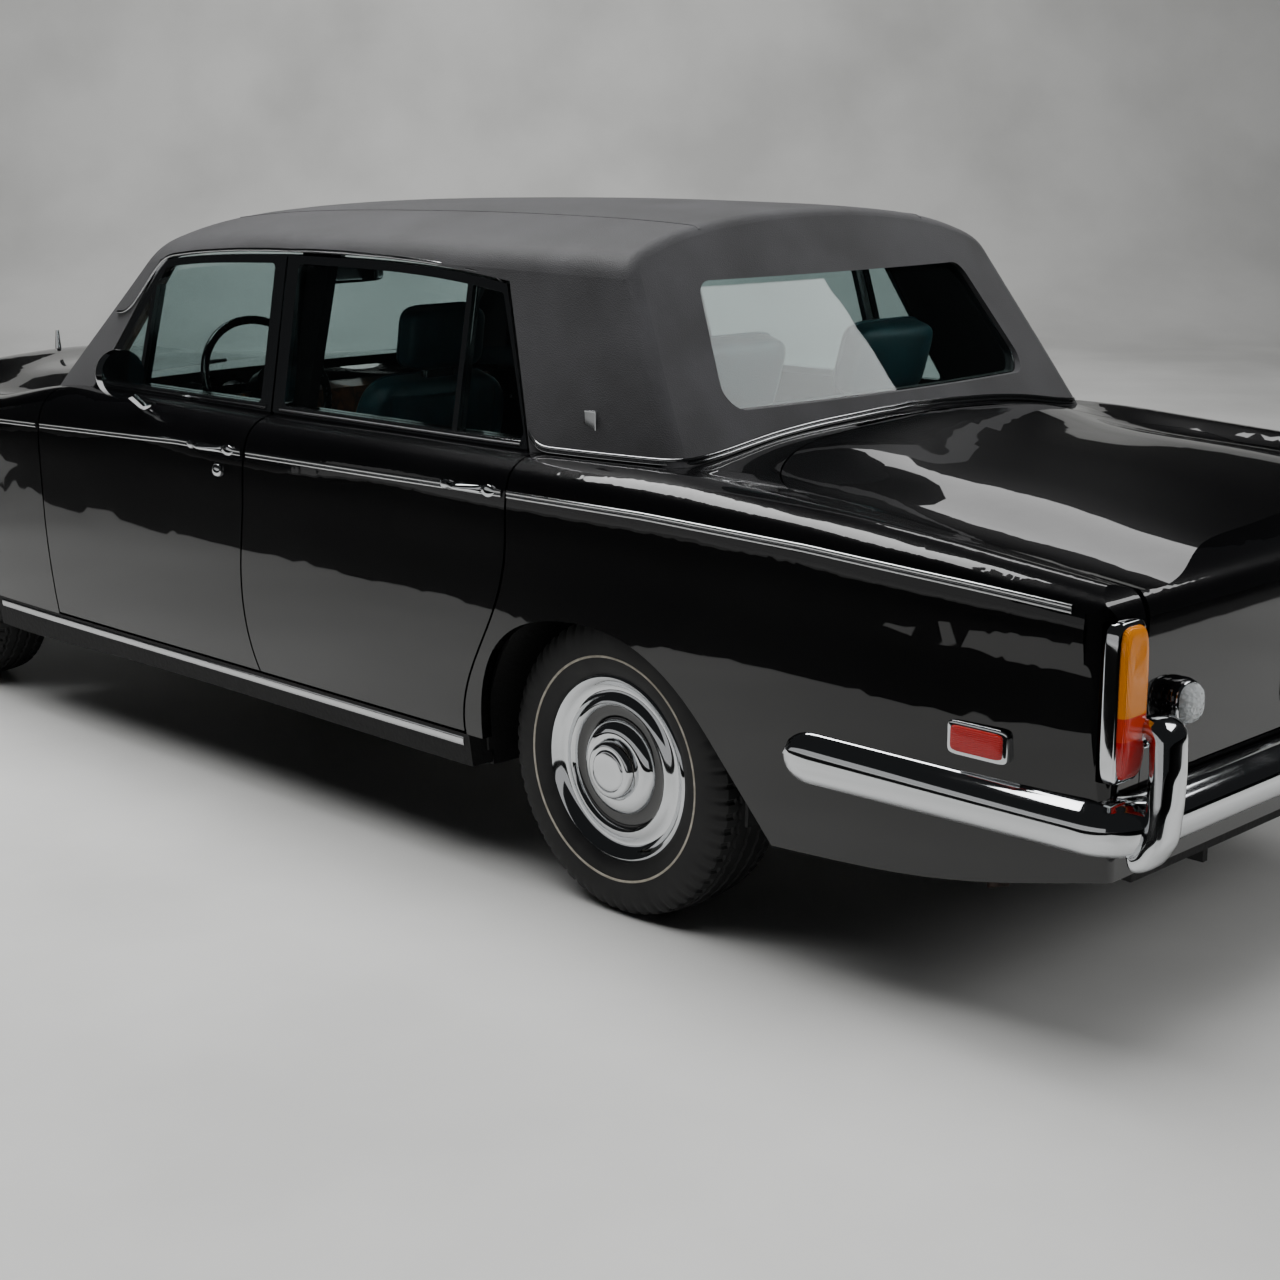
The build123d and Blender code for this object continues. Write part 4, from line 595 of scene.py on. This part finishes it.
def bent_strap(name, line, middle_y, lean, half, thick, finish, body, side=1):
    """Rounded strap: an ellipse carried along a smooth curve in (station, height)."""
    knots, way = spaced(line, 0.004)
    kernel = np.hanning(9) / np.hanning(9).sum()
    knots = np.stack([np.convolve(np.pad(knots[:, k], 4, "edge"), kernel, "valid") for k in (0, 1)], -1)
    heading = np.gradient(knots, axis=0)
    heading /= np.linalg.norm(heading, axis=1)[:, None]
    drop = (knots[0, 1] + 0.04 - knots[:, 1]) / 0.25
    sideways = side * (middle_y + lean * np.clip(drop, 0, 1))
    path = np.stack([knots[:, 0] + REAR_AXLE_X, sideways, knots[:, 1]], -1)
    out = np.stack([-heading[:, 1], np.zeros(len(path)), heading[:, 0]], -1)
    t = np.linspace(0, 2 * np.pi, 24, endpoint=False)
    oval = np.stack([thick * np.sign(np.sin(t)) * np.abs(np.sin(t)) ** 0.8,
                     half * np.sign(np.cos(t)) * np.abs(np.cos(t)) ** 0.6], -1)
    ends = np.minimum(way, way[-1] - way)
    swell = np.sqrt(np.clip(1 - (1 - np.minimum(ends / 0.02, 1)) ** 2, 0.01, 1))
    rows = (path[:, None] + out[:, None] * oval[None, :, :1] * swell[:, None, None]
            + np.array([0, 1.0, 0]) * oval[None, :, 1:] * swell[:, None, None])
    piece = grid_piece(name, rows, finish, sharp=60)
    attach(piece, body)
    return piece


for side, word in ((1, "left"), (-1, "right")):
    bent_strap("rear_overrider_" + word, HOOK, 0.765, HOOK_LEAN, HOOK_HALF, HOOK_THICK, chrome, "body", side)
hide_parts("rear_bumper")


# ---- rear lamps ------------------------------------------------------------------------------
# Tall moulded acrylic lenses in die-cast chromed rims: amber above, red below, ribbed inside.
# Small red side lamps and clear reversing lamps are made the same way.
def rounded_box(name, centre, half, finish, power=0.35, count=40, body="body", rows=24):
    """Superellipsoid: each coordinate is half * sign(c) |c| ** power of a sphere's."""
    u = np.linspace(0, 2 * np.pi, count, endpoint=False)[None, :]
    v = np.linspace(-np.pi / 2, np.pi / 2, rows)[:, None]

    def bent(value):
        return np.sign(value) * np.abs(value) ** power

    grid = np.stack(np.broadcast_arrays(bent(np.cos(v)) * bent(np.cos(u)), bent(np.cos(v)) * bent(np.sin(u)),
                                        bent(np.sin(v))), -1)
    piece = grid_piece(name, grid * np.array(half) + np.array(centre), finish, caps=False, sharp=80)
    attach(piece, body)
    return piece


red_acrylic = new_finish("red_acrylic", "c40f0c", 0.06, Transmission_Weight=0.1, IOR=1.49, Coat_Weight=0.5)
red_ribs = pattern(red_acrylic, "ShaderNodeTexWave", 0.012, bands_direction="Z")
raised(red_acrylic, red_ribs.outputs["Fac"], 0.0008)
two_tone = new_finish("amber_and_red_acrylic", "e07a10", 0.06, Transmission_Weight=0.08, IOR=1.49,
                      Coat_Weight=0.5)
tall_ribs = pattern(two_tone, "ShaderNodeTexWave", 0.010, bands_direction="Y")
raised(two_tone, tall_ribs.outputs["Fac"], 0.0010)
tree = two_tone.node_tree
height = add_node(tree, "ShaderNodeSeparateXYZ",
                  wires={0: add_node(tree, "ShaderNodeTexCoord").outputs["Object"]})
bands = add_node(tree, "ShaderNodeMapRange", {"From Min": 0.585, "From Max": 0.87},
                 {"Value": height.outputs["Z"]})
colours = add_node(tree, "ShaderNodeValToRGB", wires={"Fac": bands.outputs["Result"]})
colours.color_ramp.interpolation = "CONSTANT"
colours.color_ramp.elements[0].color = linear("c8120e")
colours.color_ramp.elements[1].position = 0.27
colours.color_ramp.elements[1].color = linear("dd3a1c")
amber_stop = colours.color_ramp.elements.new(0.42)
amber_stop.color = linear("f5900f")
tree.links.new(colours.outputs["Color"], tree.nodes["Principled BSDF"].inputs["Base Color"])
clear_acrylic = new_finish("clear_prism_acrylic", "dfe3e4", 0.05, Transmission_Weight=0.6, IOR=1.49)
prisms = pattern(clear_acrylic, "ShaderNodeTexVoronoi", 0.008)
raised(clear_acrylic, prisms.outputs["Distance"], 0.002)

lamp_low, lamp_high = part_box("rear_lamps")
LAMP_X, LAMP_Z = lamp_low.x, (lamp_low.z + lamp_high.z) / 2
LENS_Y, SIDE_LAMP_X, SIDE_LAMP_Z = 0.826, REAR_AXLE_X - 1.001, 0.611
REVERSING_X, REVERSING_Y, REVERSING_Z = REAR_AXLE_X - 1.262, 0.655, 0.695
for side, word in ((1, "left"), (-1, "right")):
    rounded_box("rear_lamp_rim_" + word, (LAMP_X + 0.012, LENS_Y * side, LAMP_Z), (0.017, 0.0458, 0.1445),
                chrome, 0.3)
    lens = rounded_box("rear_lamp_lens_" + word, (LAMP_X + 0.006, LENS_Y * side, LAMP_Z),
                       (0.024, 0.0385, 0.136), two_tone, 0.4, count=64, rows=48)
    if side == 1:
        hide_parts("rear_lamps")
    edge = outer_side(surface_of("rear_wings"), [SIDE_LAMP_X], [SIDE_LAMP_Z], side)[0]
    rounded_box("side_lamp_rim_" + word, (edge[0], edge[1], edge[2]), (0.067, 0.010, 0.0325), chrome, 0.25)
    rounded_box("side_lamp_lens_" + word, (edge[0], edge[1] + 0.003 * side, edge[2]), (0.058, 0.011, 0.0245),
                red_acrylic, 0.25)
    for part, back, half, finish, power in (("body", 0.008, (0.026, 0.0430, 0.0430), ring_enamel, 0.70),
                                            ("ring", 0.026, (0.010, 0.0405, 0.0405), chrome, 0.80),
                                            ("lens", 0.026, (0.024, 0.0370, 0.0370), clear_acrylic, 0.75)):
        middle = (REVERSING_X - back, REVERSING_Y * side, REVERSING_Z)
        rounded_box("reversing_lamp_%s_%s" % (part, word), middle, half, finish, power, body="boot")

# ---- number plate ----------------------------------------------------------------------------
# A blank pressed plate on the boot lid, white enamel on aluminium in a thin chromed frame.
white_enamel = new_finish("white_enamelled_aluminium", "d9dad6", 0.25)
plate_dust = pattern(white_enamel, "ShaderNodeTexNoise", 0.08, Detail=4.0)
shaded(white_enamel, plate_dust.outputs["Fac"], "cfcfca", "dedfdb", start=0.35, end=0.65)
PLATE_X, PLATE_Z = REAR_AXLE_X - 1.2645, 0.688
rounded_box("plate_frame", (PLATE_X, 0, PLATE_Z), (0.006, 0.262, 0.080), chrome, 0.12, body="boot")
rounded_box("blank_plate", (PLATE_X - 0.002, 0, PLATE_Z), (0.0065, 0.256, 0.074), white_enamel, 0.10,
            body="boot")


# ---- door handles ----------------------------------------------------------------------------
# Chromed zinc pull handles lie on the waist strip, with a round push-button lock below the
# front ones.
HANDLES = (("front", 1.292, 1.500, 0.9105), ("rear", 0.292, 0.478, 0.9215))
LOCK_X, LOCK_Z = REAR_AXLE_X + 1.362, 0.856


def swelling(share, middle, width):
    """Bell curve exp(-((s - middle) / width)^2) along the handle."""
    return np.exp(-((share - middle) / width) ** 2)


for side, word in ((1, "left"), (-1, "right")):
    for door, start, end, z in HANDLES:
        node, body = "%s_door_%s" % (door, word), "%s_%s_door" % (door, word)
        xs = np.linspace(start, end, 60)
        share = (xs - start) / (end - start)
        face = outer_side(surface_of(node), xs + REAR_AXLE_X, np.full(60, z), side)
        bow = 0.008 + 0.016 * swelling(share, 0.62, 0.20) - 0.004 * swelling(share, 0.25, 0.06)
        tall = 0.0085 + 0.006 * swelling(share, 0.12, 0.10) + 0.003 * swelling(share, 0.9, 0.08)
        fade = np.sqrt(np.clip(1 - (np.abs(share - 0.5) * 2) ** 14, 0.001, 1))
        t = np.linspace(0, 2 * np.pi, 20, endpoint=False)
        rows = np.stack([np.broadcast_to(face[:, None, 0], (60, 20)),
                         face[:, None, 1] + side * ((bow * fade)[:, None] * (0.5 + 0.5 * np.cos(t))),
                         face[:, None, 2] + (tall * fade)[:, None] * np.sin(t)], -1)
        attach(grid_piece("handle_%s_%s" % (door, word), rows, chrome, sharp=70), body)
    lock = outer_side(surface_of("front_door_" + word), [LOCK_X], [LOCK_Z], side)[0]
    rounded_box("lock_button_" + word, tuple(lock), (0.017, 0.012, 0.017), chrome, 0.8,
                body="front_%s_door" % word)

# ---- seats -----------------------------------------------------------------------------------
# Armchair seats in front and a bench behind, stuffed with hair and foam and covered in deep
# blue-green hide: crowned pads, sewn into flutes, with a piped seam round each.
hide = new_finish("blue_green_hide", "1d4a52", 0.42, Sheen_Weight=0.1, Coat_Weight=0.12, Coat_Roughness=0.3)
creases = pattern(hide, "ShaderNodeTexVoronoi", 0.0032)
raised(hide, creases.outputs["Distance"], 0.0006)
patina = pattern(hide, "ShaderNodeTexNoise", 0.16, Detail=6.0)
shaded(hide, patina.outputs["Fac"], "173f47", "2a5b63", start=0.35, end=0.7)
PIPING_R, FLUTE_PITCH, FLUTE_DEPTH = 0.0042, 0.058, 0.005


def sewn_pad(name, centre, half, lean, body="body", crown=0.012, pull=0.035, flutes=True, stands=False):
    """Stuffed pad: superellipsoid |x/a|^p + |y/b|^p + |z/c|^p = 1 with p = 5, crowned on its faces by
    crown * (1 - u^2)(1 - v^2), its edges pulled in between corners by pull * (1 - u^2), and pressed
    in along the flutes' seams by depth * exp(-(d / w)^2), d the distance from the seam."""
    turn = np.linspace(0, 2 * np.pi, 120, endpoint=False)[None, :]
    rise = np.linspace(-np.pi / 2, np.pi / 2, 60)[:, None]
    thin, tall = (0, 2) if stands else (2, 0)
    around = [np.cos(rise) * np.cos(turn), np.cos(rise) * np.sin(turn), np.sin(rise) * np.ones_like(turn)]
    around = [np.sign(a) * np.abs(a) ** 0.42 for a in around]
    u, v, w = around[tall], around[1], around[thin]
    swell = crown * np.clip(1 - u ** 2, 0, 1) * np.clip(1 - v ** 2, 0, 1) * np.sign(w)
    if flutes:
        seam = np.abs((v * half[1] / FLUTE_PITCH + 0.5) % 1 - 0.5) * FLUTE_PITCH
        inside = (np.abs(v) < 0.86) & (np.abs(u) < 0.86)
        swell = swell - FLUTE_DEPTH * np.exp(-(seam / 0.006) ** 2) * inside * np.sign(w)
    local = [None, None, None]
    local[tall] = half[tall] * u * (1 - pull * np.clip(1 - v ** 2, 0, 1))
    local[1] = half[1] * v * (1 - pull * np.clip(1 - u ** 2, 0, 1))
    local[thin] = half[thin] * w + swell
    leaned = np.array(Matrix.Rotation(math.radians(lean), 3, "Y"))
    points = np.stack(local, -1) @ leaned.T + np.array(centre)
    pad = grid_piece(name, points, hide, caps=False, sharp=70)
    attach(pad, body)
    t = np.linspace(0, 2 * np.pi, 200, endpoint=False)
    edge = [np.sign(np.cos(t)) * np.abs(np.cos(t)) ** 0.42, np.sign(np.sin(t)) * np.abs(np.sin(t)) ** 0.42]
    ring = np.zeros((200, 3))
    ring[:, tall] = half[tall] * edge[0] * (1 - pull * (1 - edge[1] ** 2)) * 0.992
    ring[:, 1] = half[1] * edge[1] * (1 - pull * (1 - edge[0] ** 2)) * 0.992
    ring[:, thin] = half[thin] * 0.45
    ring = ring @ leaned.T + np.array(centre)
    forward = np.roll(ring, -1, 0) - np.roll(ring, 1, 0)
    forward /= np.linalg.norm(forward, axis=1)[:, None]
    normal = leaned[:, thin]
    across = np.cross(forward, normal)
    a = np.linspace(0, 2 * np.pi, 8, endpoint=False)
    cord = (ring[:, None] + across[:, None] * (PIPING_R * np.cos(a))[None, :, None]
            + normal * (PIPING_R * np.sin(a))[None, :, None])
    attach(grid_piece(name + "_piping", cord, hide, loop=True), body)
    return pad


SEAT_Y, REAR_RESTRAINT_Y = 0.37, 0.28
SEAT_X, BENCH_X = REAR_AXLE_X + 1.50, REAR_AXLE_X + 0.725
for side, word in ((1, "left"), (-1, "right")):
    seat_y = SEAT_Y * side
    sewn_pad("front_cushion_" + word, (SEAT_X, seat_y, 0.475), (0.255, 0.235, 0.066), -3)
    back = sewn_pad("front_backrest_" + word, (SEAT_X - 0.305, seat_y, 0.795), (0.060, 0.235, 0.295), -14,
                    stands=True)
    if side == 1:
        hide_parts("front_seats")
    sewn_pad("front_head_restraint_" + word, (SEAT_X - 0.400, seat_y, 1.172), (0.042, 0.128, 0.082), -10,
             flutes=False, stands=True, crown=0.008)
    rounded_box("front_seat_base_" + word, (SEAT_X, seat_y, 0.345), (0.20, 0.19, 0.078), hide, 0.15)
    rounded_box("front_restraint_post_" + word, (SEAT_X - 0.382, seat_y, 1.085), (0.008, 0.05, 0.05),
                stainless, 0.3)
    sewn_pad("rear_head_restraint_" + word, (BENCH_X - 0.560, REAR_RESTRAINT_Y * side, 1.135),
             (0.046, 0.150, 0.092), -16, flutes=False, stands=True, crown=0.010)
rear_cushion = sewn_pad("rear_cushion", (BENCH_X, 0, 0.50), (0.235, 0.63, 0.062), -4)
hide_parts("rear_seat")
sewn_pad("rear_backrest", (BENCH_X - 0.320, 0, 0.725), (0.078, 0.625, 0.262), -18, stands=True)
rounded_box("rear_seat_base", (BENCH_X + 0.015, 0, 0.37), (0.16, 0.60, 0.085), hide, 0.12)

# ---- parcel shelf ----------------------------------------------------------------------------
# Shelf behind the rear seat, board covered in the same hide.
shelf_hide = hide.copy()
shelf_hide.name = "shelf_hide"
rounded_box("parcel_shelf", (REAR_AXLE_X + 0.13, 0, 0.985), (0.185, 0.62, 0.012), shelf_hide, 0.12)

# ---- dashboard, steering wheel and cabin mirror ----------------------------------------------
# Board veneered in burr walnut under lacquer; thin steering wheel of moulded black resin; and
# a wide chromed mirror at the top of the windscreen.
walnut = new_finish("lacquered_burr_walnut", "4a2c18", 0.3, Coat_Weight=0.8, Coat_Roughness=0.05)
burr = pattern(walnut, "ShaderNodeTexNoise", 0.05, Detail=9.0, Distortion=2.5)
shaded(walnut, burr.outputs["Fac"], "2d190d", "6b4325", start=0.35, end=0.68)
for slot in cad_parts["dashboard"].material_slots:
    slot.material = walnut
resin = new_finish("moulded_black_resin", "0b0b0c", 0.22)
swirl = pattern(resin, "ShaderNodeTexNoise", 0.03, Detail=3.0)
shaded(resin, swirl.outputs["Fac"], 0.18, 0.3, "Roughness")
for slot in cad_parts["steering_wheel"].material_slots:
    slot.material = resin
CABIN_MIRROR = (REAR_AXLE_X + 1.995, 0.0, 1.280)
rounded_box("cabin_mirror", CABIN_MIRROR, (0.010, 0.145, 0.031), chrome, 0.35)
rounded_box("cabin_mirror_stalk", (CABIN_MIRROR[0] + 0.012, 0.0, 1.330), (0.012, 0.009, 0.045), chrome, 0.6)

# ---- headlamps -------------------------------------------------------------------------------
# Four round lamps in pairs: chromed bezel and a pressed glass lens with flutes.
def turned_ahead(profile, centre, count):
    """Profile (radius, reach) turned about a line along x: y = r cos a, z = r sin a."""
    angle = np.linspace(0, 2 * np.pi, count, endpoint=False)[:, None]
    radius, reach = profile[:, 0], profile[:, 1]
    grid = np.stack(np.broadcast_arrays(reach * np.ones_like(angle), radius * np.cos(angle),
                                        radius * np.sin(angle)), -1)
    return grid + np.array(centre)


lens_glass = new_finish("pressed_lamp_glass", "e4e8ea", 0.03, Transmission_Weight=0.55, IOR=1.5)
flutes = pattern(lens_glass, "ShaderNodeTexWave", 0.016, bands_direction="Y")
raised(lens_glass, flutes.outputs["Fac"], 0.0015)
bezel_profile = np.array([[0.086, -0.018], [0.0865, 0.006], [0.085, 0.016], [0.081, 0.023], [0.076, 0.026],
                          [0.071, 0.024], [0.068, 0.018], [0.068, -0.004], [0.074, -0.018]])
lens_profile = np.array([[0.0, 0.032], [0.020, 0.0315], [0.040, 0.029], [0.056, 0.024], [0.068, 0.017],
                         [0.0695, 0.012], [0.060, 0.008], [0.030, 0.004], [0.0, 0.003]])
head_low, head_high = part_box("headlamps")
LAMP_FACE_X, LAMP_MIDDLE_Z = head_low.x + 0.040, (head_low.z + head_high.z) / 2
for side, word in ((1, "left"), (-1, "right")):
    for lamp_y, place in ((0.508, "inner"), (0.690, "outer")):
        middle = (LAMP_FACE_X, lamp_y * side, LAMP_MIDDLE_Z)
        bezel = grid_piece("headlamp_bezel_%s_%s" % (place, word), turned_ahead(bezel_profile, middle, 128),
                           chrome, loop=True, sharp=50)
        lens = grid_piece("headlamp_lens_%s_%s" % (place, word), turned_ahead(lens_profile, middle, 128),
                          lens_glass, loop=True, ring=False, sharp=50)
        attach(bezel, "body")
        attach(lens, "body")
        if (side, place) == (1, "inner"):
            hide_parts("headlamps")

# ---- roof mouldings --------------------------------------------------------------------------
# A twin bright moulding hides the lower edge of the roof cloth, from one rear door round under
# the rear window to the other. A drip rail is clinched over each row of door windows.
def lowest_on_roof(starts, ways, heights, within=1.7):
    """For each ray's plan, the lowest of the heights at which the roof is the first thing met."""
    roof_skin = surface_of("roof")
    others = surface_of("deck_panel", "rear_wings", "rear_door_left", "rear_door_right", "front_door_left",
                        "front_door_right", "rear_window")
    found = []
    for start, way in zip(starts, ways):
        for z in heights:
            ray = (Vector((start[0], start[1], z)), Vector((way[0], way[1], 0)))
            roof_hit, other_hit = roof_skin.ray_cast(*ray), others.ray_cast(*ray)
            if roof_hit[0] and roof_hit[3] < min(within, other_hit[3] if other_hit[0] else within):
                found.append((*roof_hit[0], *roof_hit[1]))
                break
    return np.array(found)


def evened(points, reach=5):
    """Points smoothed along their run by a short moving mean that keeps both ends."""
    padded = np.concatenate([points[:1].repeat(reach, 0), points, points[-1:].repeat(reach, 0)])
    kernel = np.hanning(2 * reach + 3)[1:-1]
    kernel /= kernel.sum()
    return np.stack([np.convolve(padded[:, k], kernel, "valid") for k in range(points.shape[1])], -1)


AROUND = np.radians(np.linspace(110, 250, 240))
HUB = (REAR_AXLE_X + 0.60, 0.0)
starts = np.stack([HUB[0] + 2.2 * np.cos(AROUND), 2.2 * np.sin(AROUND)], -1)
edge = lowest_on_roof(starts, -np.stack([np.cos(AROUND), np.sin(AROUND)], -1), np.arange(0.972, 1.14, 0.003))
edge = evened(edge, 7)
outward = edge[:, :2] - np.array(HUB)
outward = np.concatenate([outward / np.linalg.norm(outward, axis=1)[:, None], np.zeros((len(edge), 1))], -1)
lift = np.array([0, 0, 0.008])
base_trim = grid_piece("roof_base_moulding", along(edge[:, :3] + lift, outward, (0, 0, 1),
                                                   dome(0.018, 0.005, beads=2)), stainless)
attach(base_trim, "body")
for side, word in ((1, "left"), (-1, "right")):
    xs = REAR_AXLE_X + np.linspace(0.42, 2.10, 120)
    starts = np.stack([xs, np.full(120, 1.3 * side)], -1)
    drip = lowest_on_roof(starts, np.tile((0, -side), (120, 1)), np.arange(1.20, 1.46, 0.003),
                          within=0.8)
    if len(drip) > 20:
        drip = evened(drip[:, :3], 6)
        rail_piece = grid_piece("drip_rail_" + word, along(drip + (0, 0, 0.004), (0, side, 0), (0, 0, 1),
                                                           dome(0.010, 0.006)), stainless)
        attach(rail_piece, "body")
    badge = outer_side(surface_of("roof"), [REAR_AXLE_X + 0.137], [1.075], side)[0]
    rounded_box("quarter_fitting_" + word, tuple(badge), (0.018, 0.004, 0.025), chrome, 0.12)

# Seams of the roof cloth: the three widths are welted together along the roof.
for side, word in ((1, "left"), (-1, "right")):
    xs = np.linspace(REAR_AXLE_X + 0.150, REAR_AXLE_X + 2.15, 160)
    skin = surface_of("roof")
    hits = [skin.ray_cast(Vector((x, 0.40 * side, 1.8)), Vector((0, 0, -1))) for x in xs]
    seam_line = np.array([tuple(hit[0]) for hit in hits if hit[0] and hit[0].z > 1.30])
    welt = grid_piece("roof_seam_" + word,
                      along(seam_line, (0, 0, 1), (0, 1, 0), dome(0.006, 0.0018, sink=0.002)), vinyl)
    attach(welt, "body")
